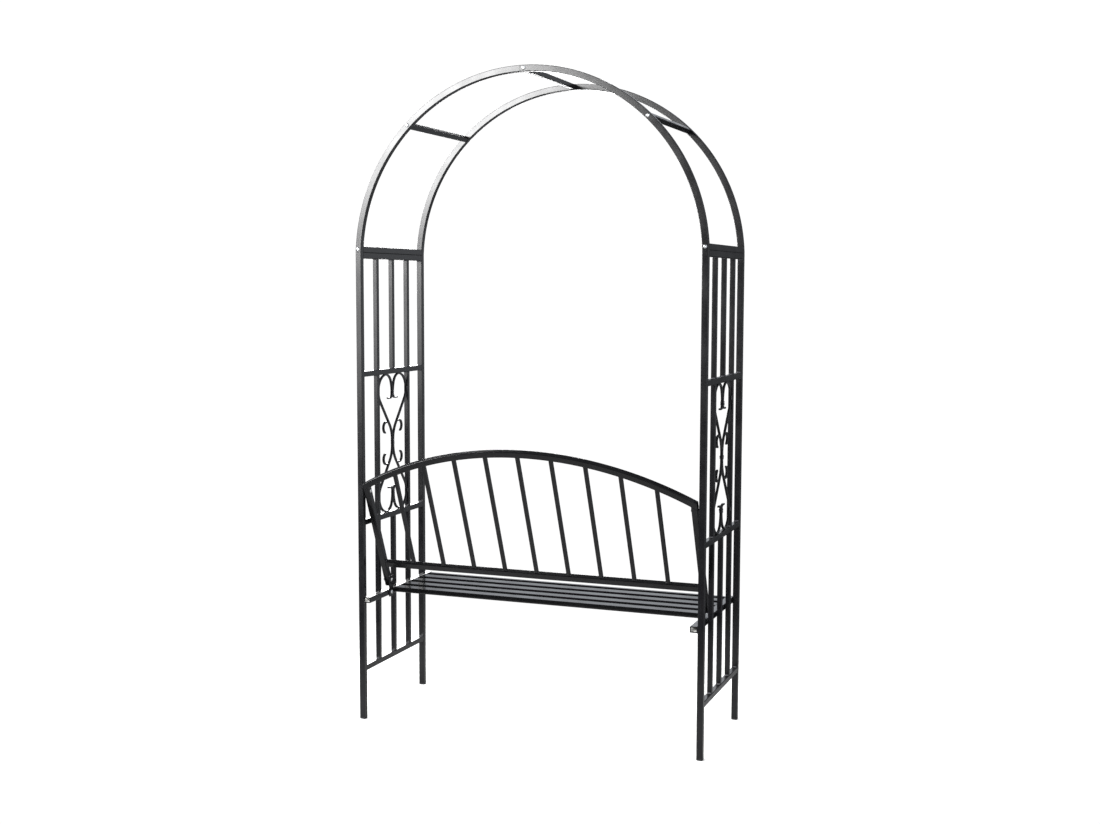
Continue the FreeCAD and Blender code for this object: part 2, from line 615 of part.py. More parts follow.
def seat():
    for side, sign in LEFT_RIGHT:
        rail = straight_tube("seat_rail_" + side, 1, "Sizes.seat_rail_width",
                             "Sizes.seat_rail_depth", "Sizes.depth_over_posts", "Sizes.tube_corner")
        drill(rail, "YZ_Plane", [("Layout.plate_bolt_y", "0", HOLE)], "2 * Sizes.seat_rail_width")
        place(rail, "%d * Layout.seat_rail_x" % sign, "0", "Layout.seat_rail_middle")
    for number, name in enumerate(("rear", "second", "third", "front")):
        slat = straight_tube("seat_slat_" + name, 0, "Sizes.seat_slat_width",
                             "Sizes.seat_slat_depth", "2 * Layout.back_inside",
                             "Sizes.seat_slat_corner", flat_oval=True)
        place(slat, "0", "Sizes.rear_slat_place - %d * Sizes.seat_slat_pitch" % number,
              "Sizes.seat_height - Sizes.seat_slat_depth / 2")
    front = straight_tube("seat_front_tube", 0, "Sizes.front_tube_size", "Sizes.front_tube_size",
                          "2 * Layout.back_inside", "Sizes.rail_corner")
    place(front, "0", "Sizes.front_tube_inset + Sizes.front_tube_size / 2"
          " - Sizes.depth_over_posts / 2", "Sizes.seat_height - Sizes.front_tube_size / 2")


def joining_plates():
    for side, sign in LEFT_RIGHT:
        plate = new_body("joining_plate_" + side)
        sketch = new_sketch(plate, "YZ_Plane")
        draw_rectangle(sketch, "Sizes.plate_width", "Layout.plate_length", "plate")
        extrude(plate, "Pad", sketch, "Sizes.plate_thickness")
        drill(plate, "YZ_Plane",
              [("0", "%s - Layout.plate_middle" % height, HOLE)
               for height in ("Layout.plate_bolt_height", "Layout.seat_rail_middle")],
              "2 * Sizes.plate_thickness")
        place(plate, "%d * (Layout.back_inside - Sizes.plate_thickness / 2)" % sign,
              "Layout.plate_bolt_y", "Layout.plate_middle")


def group(label, shapes):
    """Identical small pieces that share one node, each a solid of its own."""
    feature = doc.addObject("Part::Feature", "group_" + label)
    feature.Label = label
    feature.Shape = Part.makeCompound(shapes)
    feature.Placement = Placement(Vector(0, -layout.depth_middle, 0), Rotation())
    parts.append(feature)


def ring(sides, radius, height=0.0):
    """A regular outline round Z with its first corner towards X."""
    turns = [2 * math.pi * number / sides for number in range(sides)] + [0.0]
    return Part.makePolygon([Vector(radius * math.cos(turn), radius * math.sin(turn), height)
                             for turn in turns])


def rod(sides, radius, length):
    return Part.Face(ring(sides, radius)).extrude(Vector(0, 0, length))


def domed_bolt(length):
    """A bolt along Z whose head bulges above zero in two bands up to a small flat top."""
    sides = int(value("Sizes.bolt_sides"))
    head = value("Sizes.bolt_head_diameter / 2")
    swell = value("Sizes.bolt_head_height") / math.sin(DOME_TURNS[-1])
    rings = [ring(sides, head * math.cos(turn), swell * math.sin(turn)) for turn in DOME_TURNS]
    shank = rod(sides, value("Sizes.bolt_diameter / 2"), -length)
    return Part.makeLoft(rings, True, True).fuse(shank)


def seated(shape, spot, outward):
    """A copy of a piece made along Z, moved to its seat and turned to face outward."""
    return shape.transformed(Placement(spot, Rotation(Vector(0, 0, 1), outward)).toMatrix(), True)


def arc_point(angle, depth):
    """A point on the centre line of an arch, at an angle up from the left side."""
    turn = math.radians(angle)
    return Vector(layout.arch_radius * math.cos(turn), depth,
                  layout.arch_middle + layout.arch_radius * math.sin(turn))


def fasteners():
    bolt = domed_bolt(value("Sizes.arch_bolt_length"))
    angles = [layout.base_angle, layout.mid_angle, 90, 180 - layout.mid_angle, 180 - layout.base_angle]
    face = value("Sizes.depth_over_posts / 2")
    group("arch_bolts", [seated(bolt, arc_point(angle, depth * face), Vector(0, depth, 0))
                         for row, depth in FRONT_REAR for angle in angles])

    bolt = domed_bolt(value("Sizes.back_bolt_length"))
    sides = int(value("Sizes.bolt_sides"))
    spacer = rod(sides, value("Sizes.spacer_diameter / 2"), layout.back_gap).cut(
        rod(sides, value(HOLE), layout.back_gap))
    height = value("Layout.back_bolt_height")
    group("back_bolts", [seated(bolt, Vector(sign * layout.back_inside, layout.post_y, height),
                                Vector(-sign, 0, 0)) for side, sign in LEFT_RIGHT])
    group("back_spacers", [seated(spacer, Vector(sign * layout.back_outside, layout.post_y, height),
                                    Vector(sign, 0, 0)) for side, sign in LEFT_RIGHT])

    plate = value("Sizes.plate_thickness")
    thickness = value("Sizes.nut_thickness")
    nut = rod(6, value("Sizes.nut_width") / math.sqrt(3), thickness).cut(
        rod(sides, value(THREAD), thickness))
    clamped = ((layout.plate_bolt_height, value("Sizes.back_tube_size")),
               (layout.seat_rail_middle, value("Sizes.seat_rail_width")))
    bolts, nuts = [], []
    for side, sign in LEFT_RIGHT:
        for height, depth in clamped:
            length = plate + depth + thickness + value("Sizes.bolt_tail")
            spot = Vector(sign * (layout.back_inside - plate), layout.plate_bolt_y, height)
            bolts.append(seated(domed_bolt(length), spot, Vector(-sign, 0, 0)))
            nuts.append(seated(nut, spot + Vector(sign * (plate + depth), 0, 0), Vector(sign, 0, 0)))
    group("plate_bolts", bolts)
    group("plate_nuts", nuts)


def bent_stub(size, low, high, depth):
    """A square bar bent along an arch between two angles up from the left side."""
    half = size / 2
    corners = [Vector(layout.arch_radius + x * half, y * half, 0)
               for x, y in ((-1, -1), (1, -1), (1, 1), (-1, 1), (-1, -1))]
    face = Part.Face(Part.makePolygon(corners))
    face.rotate(Vector(), Vector(0, -1, 0), low)
    stub = face.revolve(Vector(), Vector(0, -1, 0), high - low)
    stub.translate(Vector(0, depth, layout.arch_middle))
    return stub


def hidden_inserts():
    """Spigots in the post tops and sleeves across the arch joints, all tube."""
    wall = value("Sizes.tube_wall")
    inside = value("Sizes.post_size - 2 * Sizes.tube_wall")
    spigot = inside - 2 * value("Sizes.spigot_gap")
    sleeve = inside - 2 * value("Sizes.plug_gap")
    top = value("Sizes.post_height")
    drop = value("Sizes.spigot_depth")
    overlap = 1.0
    low, high = (math.degrees(math.asin((level - layout.arch_middle) / layout.arch_radius))
                 for level in (top - overlap, top + value("Sizes.spigot_rise")))
    bore = rod(int(value("Sizes.bolt_sides")), value(HOLE), 2 * inside)
    along = Vector(0, 1, 0)
    spigots, sleeves = [], []
    for row, sign in FRONT_REAR:
        depth = sign * layout.post_y
        stubs = []
        for size in (spigot, spigot - 2 * wall):
            corner = Vector(layout.post_x - size / 2, depth - size / 2, top - drop)
            stubs.append(Part.makeBox(size, size, drop, corner).fuse(
                bent_stub(size, low, high, depth)).removeSplitter())
        left = stubs[0].cut(stubs[1]).cut(
            seated(bore, arc_point(layout.base_angle, depth - inside), along))
        spigots += [left.Solids[0], left.mirror(Vector(), Vector(1, 0, 0)).Solids[0]]

        reach = math.degrees(value("Sizes.sleeve_length") / 2 / layout.arch_radius)
        joint = 90 - layout.joint_angle
        outer, inner = (bent_stub(size, joint - reach, joint + reach, depth)
                        for size in (sleeve, sleeve - 2 * wall))
        sleeves.append(outer.cut(inner).cut(
            seated(bore, arc_point(90, depth - inside), along)).Solids[0])
    group("post_spigots", spigots)
    group("arch_sleeves", sleeves)


posts_and_feet()
panel_rails()
panel_bars()
scrolls()
arch_tubes()
crossbars()
back_frame()
seat()
joining_plates()
doc.recompute()
fasteners()
hidden_inserts()
doc.recompute()

for item in doc.Objects:
    if "Invalid" in item.State or "Error" in item.State:
        raise RuntimeError("%s failed: %s" % (item.Label, item.State))
os.makedirs("parts", exist_ok=True)
for part in parts:
    if part.Shape.isNull() or not part.Shape.isValid():
        raise RuntimeError("%s has no valid shape" % part.Label)
    part.Shape.exportStep("parts/%s.step" % part.Label)
print("%d parts" % len(parts))
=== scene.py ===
# An arbour seat of square steel tube under a charcoal powder coat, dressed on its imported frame.
import json
import math
import random

import bpy
from mathutils import Matrix, Vector

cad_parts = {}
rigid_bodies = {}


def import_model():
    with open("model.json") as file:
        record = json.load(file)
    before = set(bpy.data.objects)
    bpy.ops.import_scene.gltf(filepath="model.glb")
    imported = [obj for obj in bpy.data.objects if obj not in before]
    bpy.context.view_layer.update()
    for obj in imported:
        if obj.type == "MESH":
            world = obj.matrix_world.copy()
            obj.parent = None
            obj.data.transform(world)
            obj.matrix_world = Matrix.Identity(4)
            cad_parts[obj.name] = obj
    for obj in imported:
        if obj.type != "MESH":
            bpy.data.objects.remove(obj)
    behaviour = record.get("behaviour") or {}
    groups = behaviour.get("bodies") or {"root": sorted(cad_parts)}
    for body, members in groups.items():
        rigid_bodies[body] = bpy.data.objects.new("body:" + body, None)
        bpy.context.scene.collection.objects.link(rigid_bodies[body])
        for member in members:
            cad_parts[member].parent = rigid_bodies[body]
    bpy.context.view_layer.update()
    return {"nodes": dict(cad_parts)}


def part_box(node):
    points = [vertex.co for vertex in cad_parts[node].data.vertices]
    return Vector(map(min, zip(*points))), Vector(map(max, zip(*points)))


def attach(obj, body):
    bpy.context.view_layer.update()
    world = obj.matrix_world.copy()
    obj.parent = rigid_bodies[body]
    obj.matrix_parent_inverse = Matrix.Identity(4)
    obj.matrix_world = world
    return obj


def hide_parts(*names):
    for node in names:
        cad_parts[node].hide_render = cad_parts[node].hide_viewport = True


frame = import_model()
MM = 0.001
# The sitter's left lies along +X, and the front along -Y.
SIDES = (("left", 1), ("right", -1))
ROWS = (("front", -1), ("rear", 1))

# The frame's own sizes, in millimetres and degrees, as the solids have them.
DEPTH_SHIFT = -31.31
POST_X = 560.5
POST_Y = 215.5
POST_SIZE = 19.0
POST_TOP = 1500.0
ARCH_RADIUS = 560.87
ARCH_MIDDLE = 1479.63
ARCH_JOINT_X = 12.0
BASE_ANGLE = 3.053
MID_ANGLE = 46.53
RAIL_SIZE = 18.0
RAIL_HEIGHTS = (1116.0, 641.0, 165.5)
TOP_RAIL_HEIGHT = 1490.5
BAR_SIZE = 15.0
BAR_PITCH = 107.75
BACK_LEAN = math.radians(23.008)
BACK_BOLT_HEIGHT = 744.2
BACK_TOP = 161.61
BACK_BOTTOM = -273.45
BACK_RADIUS = 1099.0
BACK_TUBE = 19.0
BACK_INSIDE = 528.0
BACK_OUTSIDE = 547.0
RAIL_OUTSIDE = 551.0
SLAT_SIZE = 11.5
SLAT_PITCH = 107.0
SLAT_COUNT = 9
SEAT_TOP = 402.0
SEAT_RAIL_BOTTOM = 383.0
SEAT_SLAT_BOTTOM = 386.0
SEAT_SLAT_WIDTH = 43.0
SEAT_SLAT_YS = tuple(35.5 - 64.0 * number for number in range(4))
FRONT_TUBE_Y = -206.0
FRONT_TUBE_SIZE = 16.0
UPRIGHT_FOOT = 412.0
PLATE_Y = 83.35
PLATE_INSIDE = 524.5
PLATE_BOLT_HEIGHTS = (433.0, 392.5)
FOOT_FLANGE = 5.0
HEAD_RADIUS = 6.0
HEAD_HEIGHT = 3.0
BOLT_RADIUS = 3.0
ARCH_BOLT_LENGTH = 25.0
BACK_BOLT_LENGTH = 30.0
BOLT_TAIL = 1.5
NUT_WIDTH = 10.0
NUT_THICKNESS = 5.0
SPACER_LENGTH = 4.0
CROSSBAR_SIZE = 16.0
TUBE_WALL = 1.2
SCROLL_MIDDLE = 878.5
STRIP_SOLID = 4.0
STRIP_START = 3.5
WAIST_STRAIGHT = 9.6
WAIST_RADIUS = 80.0
LOBE_RADIUS = 52.65
CROWN_RADIUS = 38.0
CHEEK_RADIUS = 100.0
TIP_LEAD = 4.0
TIP_RADIUS = 14.0
CURL_RISE = 10.0
CURL_LEAD = 15.0
CURL_RADIUS = 18.0
CURL_TURN = 170.0

# Sizes of the scene's own forms, in millimetres: the strips as thick as they look, with shorter
# tips than the solids', the tubes' rolled corners, the beads' radii and the plates' eased edges.
STRIP_THICKNESS = 5.5
STRIP_WIDTH = 7.5
STRIP_CORNER = 0.7
TIP_REACH = 15.0
POST_CORNER = 1.8
RAIL_CORNER = 2.1
BAR_CORNER = 1.8
SLAT_CORNER = 1.5
SEAT_SLAT_CORNER = 5.0
TOP_RAIL_BEAD = 3.4
RAIL_BEAD = 2.2
BAR_BEAD = 2.3
LOBE_BEAD = 1.7
STRIP_NUGGET = 3.2
SLAT_BEAD = 1.5
BACK_BEAD = 2.0
SEAT_BEAD = 1.9
SEAT_END_BEAD = 1.7
PLATE_EASE = 0.6

# Faces that meet at more degrees than this keep a sharp edge.
CREASE = 35

# What the welds' chance starts from, so that every run draws the same beads.
WELD_SEEDS = {"left": 11, "right": 12, "back": 13}

# The photograph's viewpoint: metres, degrees and the photograph's own width in pixels.
CAMERA_SPOT = (-1.61374, 4.20334 + DEPTH_SHIFT * MM, 1.39311)
CAMERA_TURN = 21.002
CAMERA_TILT = 5.026
CAMERA_ROLL = 0.143
FOCAL_PIXELS = 1421.99
FRAME_PIXELS = 1100
SENSOR_WIDTH = 36

# The room round the seat, in metres, and the way to the lit wall that its coat mirrors.
FLOOR_REACH = 1.7
ROOM_LIGHT = 1.04
WALL_WAY = (0.28, -0.93, 0.22)


# ---- camera and lights ----

def look():
    """Puts the camera where the photograph was taken from."""
    turn, tilt = math.radians(CAMERA_TURN), math.radians(CAMERA_TILT)
    ahead = Vector((math.sin(turn) * math.cos(tilt), -math.cos(turn) * math.cos(tilt),
                    -math.sin(tilt)))
    right = ahead.cross(Vector((0, 0, 1))).normalized()
    up = right.cross(ahead)
    roll = math.radians(CAMERA_ROLL)
    side = right * math.cos(roll) + up * math.sin(roll)
    top = up * math.cos(roll) - right * math.sin(roll)
    data = bpy.data.cameras.new("photo_camera")
    data.sensor_width = SENSOR_WIDTH
    data.lens = FOCAL_PIXELS * SENSOR_WIDTH / FRAME_PIXELS
    camera = bpy.data.objects.new("photo_camera", data)
    axes = Matrix((side, top, -ahead)).transposed()
    camera.matrix_world = Matrix.Translation(CAMERA_SPOT) @ axes.to_4x4()
    bpy.context.scene.collection.objects.link(camera)
    bpy.context.scene.camera = camera


def softbox(name, spot, target, width, height, watts):
    """A rectangular soft light that faces its target."""
    data = bpy.data.lights.new(name, "AREA")
    data.shape = "RECTANGLE"
    data.size, data.size_y = width, height
    data.energy = watts
    light = bpy.data.objects.new(name, data)
    light.location = spot
    light.rotation_mode = "QUATERNION"
    light.rotation_quaternion = (Vector(target) - Vector(spot)).to_track_quat("-Z", "Y")
    bpy.context.scene.collection.objects.link(light)
    return light


def keep_off(lights, words):
    """Keeps some lights off the pieces that have one of these words in their names."""
    shaded = bpy.data.collections.new("shaded_from_" + lights[0].name)
    for piece in bpy.context.scene.collection.all_objects:
        if piece.type == "MESH" and any(word in piece.name for word in words):
            shaded.objects.link(piece)
    for member in shaded.collection_objects:
        member.light_linking.link_state = "EXCLUDE"
    for light in lights:
        light.light_linking.receiver_collection = shaded


# ---- materials ----

def srgb(code):
    """A hex sRGB colour as linear RGBA."""
    parts = [int(code[at:at + 2], 16) / 255 for at in (1, 3, 5)]
    return [part / 12.92 if part <= 0.04045 else ((part + 0.055) / 1.055) ** 2.4
            for part in parts] + [1.0]


def node(tree, kind, inputs=None, stops=None, **settings):
    """Adds a node. An input is a value, or a pair of another node and the name of its output."""
    made = tree.nodes.new(kind)
    for name, setting in settings.items():
        setattr(made, name, setting)
    for name, given in (inputs or {}).items():
        if isinstance(given, tuple) and isinstance(given[0], bpy.types.Node):
            tree.links.new(given[0].outputs[given[1]], made.inputs[name])
        else:
            made.inputs[name].default_value = given
    if stops:
        band = made.color_ramp
        while len(band.elements) < len(stops):
            band.elements.new(0.5)
        for element, (place, colour) in zip(band.elements, stops):
            element.position = place
            element.color = colour
    return made


def blank_material(name):
    """A material whose node tree is empty."""
    material = bpy.data.materials.new(name)
    material.use_nodes = True
    material.node_tree.nodes.clear()
    return material, material.node_tree


def baked_powder_coat(name, deep, worn, edge, roughness):
    """Polyester powder baked on steel: a fine orange peel, a low sheen, thin on sharp edges."""
    material, tree = blank_material(name)
    place = node(tree, "ShaderNodeTexCoord")
    # The peel's cells are about 0.6 mm across, and drawn at 1.6 mm to show at all.
    peel = node(tree, "ShaderNodeTexNoise", {"Vector": (place, "Object"), "Scale": 1 / (1.6 * MM),
                                             "Detail": 3.0, "Roughness": 0.55})
    # Cloudy tone from an uneven spray, over about a hand's width.
    cloud = node(tree, "ShaderNodeTexNoise", {"Vector": (place, "Object"), "Scale": 1 / (90 * MM),
                                              "Detail": 4.0, "Roughness": 0.6})
    # Grains of powder that melted late, about 2 mm apart and drawn at 5 mm.
    grain = node(tree, "ShaderNodeTexNoise", {"Vector": (place, "Object"), "Scale": 1 / (5 * MM),
                                              "Detail": 2.0, "Roughness": 0.5})
    tone = node(tree, "ShaderNodeValToRGB", {"Fac": (cloud, "Fac")},
                stops=[(0.35, srgb(deep)), (0.7, srgb(worn))])
    fleck = node(tree, "ShaderNodeValToRGB", {"Fac": (grain, "Fac")},
                 stops=[(0.45, srgb("#FFFFFF")), (0.75, srgb("#DCDCDC"))])
    body = node(tree, "ShaderNodeMixRGB", {"Fac": 1.0, "Color1": (tone, "Color"),
                                           "Color2": (fleck, "Color")}, blend_type="MULTIPLY")
    # The powder draws back from edges within about 1.2 mm, where it looks paler.
    round_edge = node(tree, "ShaderNodeBevel", {"Radius": 1.2 * MM}, samples=4)
    flat = node(tree, "ShaderNodeNewGeometry")
    same = node(tree, "ShaderNodeVectorMath", {0: (round_edge, "Normal"), 1: (flat, "Normal")},
                operation="DOT_PRODUCT")
    thin = node(tree, "ShaderNodeMapRange", {"Value": (same, "Value"), "From Min": 0.995,
                                             "From Max": 0.93, "To Min": 0.0, "To Max": 0.55})
    colour = node(tree, "ShaderNodeMixRGB", {"Fac": (thin, "Result"), "Color1": (body, "Color"),
                                             "Color2": srgb(edge)})
    gloss = node(tree, "ShaderNodeMapRange", {"Value": (cloud, "Fac"), "From Min": 0.3,
                                              "From Max": 0.7, "To Min": roughness - 0.04,
                                              "To Max": roughness + 0.05})
    bump = node(tree, "ShaderNodeBump", {"Height": (peel, "Fac"), "Strength": 0.025,
                                         "Distance": 0.10 * MM})
    shader = node(tree, "ShaderNodeBsdfPrincipled",
                  {"Base Color": (colour, "Color"), "Roughness": (gloss, "Result"),
                   "Normal": (bump, "Normal"), "IOR": 1.45})
    node(tree, "ShaderNodeOutputMaterial", {"Surface": (shader, "BSDF")})
    return material


def bright_zinc_plate():
    """Electroplated zinc on steel: a bright metal, faintly blue and straw from passivation."""
    material, tree = blank_material("bright_zinc_plate")
    place = node(tree, "ShaderNodeTexCoord")
    # Passivation drifts in colour over about 8 mm.
    drift = node(tree, "ShaderNodeTexNoise", {"Vector": (place, "Object"), "Scale": 1 / (8 * MM),
                                              "Detail": 2.0})
    # Crystals far finer than this are drawn 0.7 mm apart to break up the shine.
    crystal = node(tree, "ShaderNodeTexNoise", {"Vector": (place, "Object"),
                                                "Scale": 1 / (0.7 * MM), "Detail": 2.0})
    tone = node(tree, "ShaderNodeValToRGB", {"Fac": (drift, "Fac")},
                stops=[(0.3, srgb("#DCE2E8")), (0.55, srgb("#E6E7E6")), (0.75, srgb("#E4DFD2"))])
    gloss = node(tree, "ShaderNodeMapRange", {"Value": (crystal, "Fac"), "From Min": 0.3,
                                              "From Max": 0.7, "To Min": 0.22, "To Max": 0.38})
    bump = node(tree, "ShaderNodeBump", {"Height": (crystal, "Fac"), "Strength": 0.2,
                                         "Distance": 0.03 * MM})
    shader = node(tree, "ShaderNodeBsdfPrincipled",
                  {"Base Color": (tone, "Color"), "Roughness": (gloss, "Result"),
                   "Normal": (bump, "Normal"), "Metallic": 1.0})
    node(tree, "ShaderNodeOutputMaterial", {"Surface": (shader, "BSDF")})
    return material


def moulded_polyethylene():
    """Black polyethylene from a spark-eroded mould: a dull even grain with scuffs."""
    material, tree = blank_material("moulded_black_polyethylene")
    place = node(tree, "ShaderNodeTexCoord")
    # The mould's grain is about 0.2 mm, and drawn at 0.8 mm.
    spark = node(tree, "ShaderNodeTexVoronoi", {"Vector": (place, "Object"),
                                                "Scale": 1 / (0.8 * MM)})
    # Scuffs are about 4 mm long.
    scuff = node(tree, "ShaderNodeTexNoise", {"Vector": (place, "Object"), "Scale": 1 / (4 * MM),
                                              "Detail": 4.0, "Roughness": 0.7})
    tone = node(tree, "ShaderNodeValToRGB", {"Fac": (scuff, "Fac")},
                stops=[(0.4, srgb("#101112")), (0.8, srgb("#1F2021"))])
    gloss = node(tree, "ShaderNodeMapRange", {"Value": (scuff, "Fac"), "From Min": 0.3,
                                              "From Max": 0.7, "To Min": 0.5, "To Max": 0.62})
    bump = node(tree, "ShaderNodeBump", {"Height": (spark, "Distance"), "Strength": 0.25,
                                         "Distance": 0.08 * MM})
    shader = node(tree, "ShaderNodeBsdfPrincipled",
                  {"Base Color": (tone, "Color"), "Roughness": (gloss, "Result"),
                   "Normal": (bump, "Normal"), "IOR": 1.51})
    node(tree, "ShaderNodeOutputMaterial", {"Surface": (shader, "BSDF")})
    return material


def pickled_steel():
    """Rolled and pickled steel of the hidden sleeves: a dull grey metal with lengthwise lines."""
    material, tree = blank_material("pickled_rolled_steel")
    place = node(tree, "ShaderNodeTexCoord")
    # Rolling lines about 0.3 mm apart, drawn 1 mm apart and drawn out along the tube.
    long_way = node(tree, "ShaderNodeMapping", {"Vector": (place, "Object"),
                                                "Scale": (1.0, 1.0, 0.05)})
    line = node(tree, "ShaderNodeTexNoise", {"Vector": (long_way, "Vector"),
                                             "Scale": 1 / (1.0 * MM), "Detail": 3.0})
    tone = node(tree, "ShaderNodeValToRGB", {"Fac": (line, "Fac")},
                stops=[(0.35, srgb("#6F7072")), (0.7, srgb("#8D8D8C"))])
    gloss = node(tree, "ShaderNodeMapRange", {"Value": (line, "Fac"), "From Min": 0.3,
                                              "From Max": 0.7, "To Min": 0.42, "To Max": 0.56})
    bump = node(tree, "ShaderNodeBump", {"Height": (line, "Fac"), "Strength": 0.2,
                                         "Distance": 0.04 * MM})
    shader = node(tree, "ShaderNodeBsdfPrincipled",
                  {"Base Color": (tone, "Color"), "Roughness": (gloss, "Result"),
                   "Normal": (bump, "Normal"), "Metallic": 1.0})
    node(tree, "ShaderNodeOutputMaterial", {"Surface": (shader, "BSDF")})
    return material


def bloomed_zinc():
    """The bore of an open tube end, painted nearly white: a painted highlight for the light seen
    inside it, with spangles.
    """
    material, tree = blank_material("bloomed_zinc_bore")
    place = node(tree, "ShaderNodeTexCoord")
    # Spangles are about 4 mm across, under a mottle of about 12 mm.
    spangle = node(tree, "ShaderNodeTexVoronoi", {"Vector": (place, "Object"),
                                                  "Scale": 1 / (4 * MM)})
    bloom = node(tree, "ShaderNodeTexNoise", {"Vector": (place, "Object"), "Scale": 1 / (12 * MM),
                                              "Detail": 4.0, "Roughness": 0.6})
    both = node(tree, "ShaderNodeMath", {0: (spangle, "Distance"), 1: (bloom, "Fac")},
                operation="ADD")
    # Both stops are near white: painted highlight, not the metal's own tone.
    tone = node(tree, "ShaderNodeValToRGB", {"Fac": (both, "Value")},
                stops=[(0.4, srgb("#DADDDD")), (1.0, srgb("#EEEEEC"))])
    bump = node(tree, "ShaderNodeBump", {"Height": (bloom, "Fac"), "Strength": 0.2,
                                         "Distance": 0.05 * MM})
    shader = node(tree, "ShaderNodeBsdfPrincipled",
                  {"Base Color": (tone, "Color"), "Roughness": 0.6, "Normal": (bump, "Normal"),
                   "IOR": 1.5})
    node(tree, "ShaderNodeOutputMaterial", {"Surface": (shader, "BSDF")})
    return material


COAT = baked_powder_coat("charcoal_powder_coat", "#101012", "#161618", "#2A2A2D", 0.20)
# The beads' coat is painted several times lighter than the rest of the coat: a painted highlight
# for the glints on the welds.
WELD_COAT = baked_powder_coat("charcoal_powder_coat_on_weld", "#3C3C40", "#505054", "#58585C",
                              0.16)
ZINC = bright_zinc_plate()
PLASTIC = moulded_polyethylene()
STEEL = pickled_steel()
BORE = bloomed_zinc()


# ---- the room ----

def white_paper():
    """Matt white paper that fades into the white room at the rim of the sweep."""
    material, tree = blank_material("white_paper_sweep")
    place = node(tree, "ShaderNodeTexCoord")
    # The pulp is cloudy over about 6 mm.
    fibre = node(tree, "ShaderNodeTexNoise", {"Vector": (place, "Object"), "Scale": 1 / (6 * MM),
                                              "Detail": 3.0})
    tone = node(tree, "ShaderNodeValToRGB", {"Fac": (fibre, "Fac")},
                stops=[(0.3, srgb("#F5F5F5")), (0.7, srgb("#F9F9F9"))])
    # The coat mirrors a floor that lies in shade, as the photograph's tubes do.
    ray = node(tree, "ShaderNodeLightPath")
    shade = node(tree, "ShaderNodeMixRGB", {"Fac": (ray, "Is Glossy Ray"),
                                            "Color1": (tone, "Color"),
                                            "Color2": srgb("#8A8A8A")})
    paper = node(tree, "ShaderNodeBsdfPrincipled", {"Base Color": (shade, "Color"),
                                                    "Roughness": 0.95})
    away = node(tree, "ShaderNodeVectorMath", {0: (place, "Object")}, operation="LENGTH")
    fade = node(tree, "ShaderNodeMapRange", {"Value": (away, "Value"),
                                             "From Min": 0.4 * FLOOR_REACH,
                                             "From Max": FLOOR_REACH},
                interpolation_type="SMOOTHSTEP")
    clear = node(tree, "ShaderNodeBsdfTransparent")
    blend = node(tree, "ShaderNodeMixShader", {0: (fade, "Result"), 1: (paper, "BSDF"),
                                               2: (clear, "BSDF")})
    node(tree, "ShaderNodeOutputMaterial", {"Surface": (blend, "Shader")})
    return material


def white_room():
    """White to the eye and to plain light, and to the coat's shine a dim hall with a lit wall."""
    world = bpy.data.worlds.new("white_room")
    world.use_nodes = True
    tree = world.node_tree
    tree.nodes.clear()
    place = node(tree, "ShaderNodeTexCoord")
    axes = node(tree, "ShaderNodeSeparateXYZ", {0: (place, "Generated")})
    # The lit wall stands beyond the seat, a little to the sitter's left.
    toward = node(tree, "ShaderNodeVectorMath", {0: (place, "Generated"), 1: WALL_WAY},
                  operation="DOT_PRODUCT")
    wall = node(tree, "ShaderNodeMapRange", {"Value": (toward, "Value"), "From Min": 0.965,
                                             "From Max": 0.99, "To Min": 0.10, "To Max": 1.1},
                interpolation_type="SMOOTHSTEP")
    # High windows stand beside the seat on the sitter's left.
    windows = node(tree, "ShaderNodeMapRange", {"Value": (axes, "X"), "From Min": 0.5,
                                                "From Max": 0.8, "To Min": 0.0, "To Max": 0.4},
                   interpolation_type="SMOOTHSTEP")
    lights = node(tree, "ShaderNodeMath", {0: (wall, "Result"), 1: (windows, "Result")},
                  operation="MAXIMUM")
    # The wall and the windows are lit from eye level up.
    above = node(tree, "ShaderNodeMapRange", {"Value": (axes, "Z"), "From Min": 0.06,
                                              "From Max": 0.20, "To Min": 0.12, "To Max": 1.0},
                 interpolation_type="SMOOTHSTEP")
    lit = node(tree, "ShaderNodeMath", {0: (lights, "Value"), 1: (above, "Result")},
               operation="MULTIPLY")
    # The hall is pale on the sitter's right, less so near the ground.
    side = node(tree, "ShaderNodeMapRange", {"Value": (axes, "X"), "From Min": -0.15,
                                             "From Max": -0.65, "To Min": 0.0, "To Max": 0.9},
                interpolation_type="SMOOTHSTEP")
    low = node(tree, "ShaderNodeMapRange", {"Value": (axes, "Z"), "From Min": -0.2,
                                            "From Max": 0.02, "To Min": 0.5, "To Max": 1.0})
    pale = node(tree, "ShaderNodeMath", {0: (side, "Result"), 1: (low, "Result")},
                operation="MULTIPLY")
    # The ground of the hall beyond the paper throws some light up.
    ground = node(tree, "ShaderNodeMapRange", {"Value": (axes, "Z"), "From Min": -0.28,
                                               "From Max": -0.42, "To Min": 0.0, "To Max": 0.28},
                  interpolation_type="SMOOTHSTEP")
    walls = node(tree, "ShaderNodeMath", {0: (lit, "Value"), 1: (pale, "Value")},
                 operation="ADD")
    hall = node(tree, "ShaderNodeMath", {0: (walls, "Value"), 1: (ground, "Result")},
                operation="ADD")
    ray = node(tree, "ShaderNodeLightPath")
    bright = node(tree, "ShaderNodeMix", {0: (ray, "Is Glossy Ray"), 2: ROOM_LIGHT, 3: (hall, 0)})
    # Daylight from the wall is a little cooler than the room's own white.
    cool = node(tree, "ShaderNodeMixRGB", {"Fac": (ray, "Is Glossy Ray"),
                                           "Color1": srgb("#FFFFFF"), "Color2": srgb("#F4F8FF")})
    light = node(tree, "ShaderNodeBackground", {"Color": (cool, "Color"), "Strength": (bright, 0)})
    node(tree, "ShaderNodeOutputWorld", {"Surface": (light, "Background")})
    bpy.context.scene.world = world


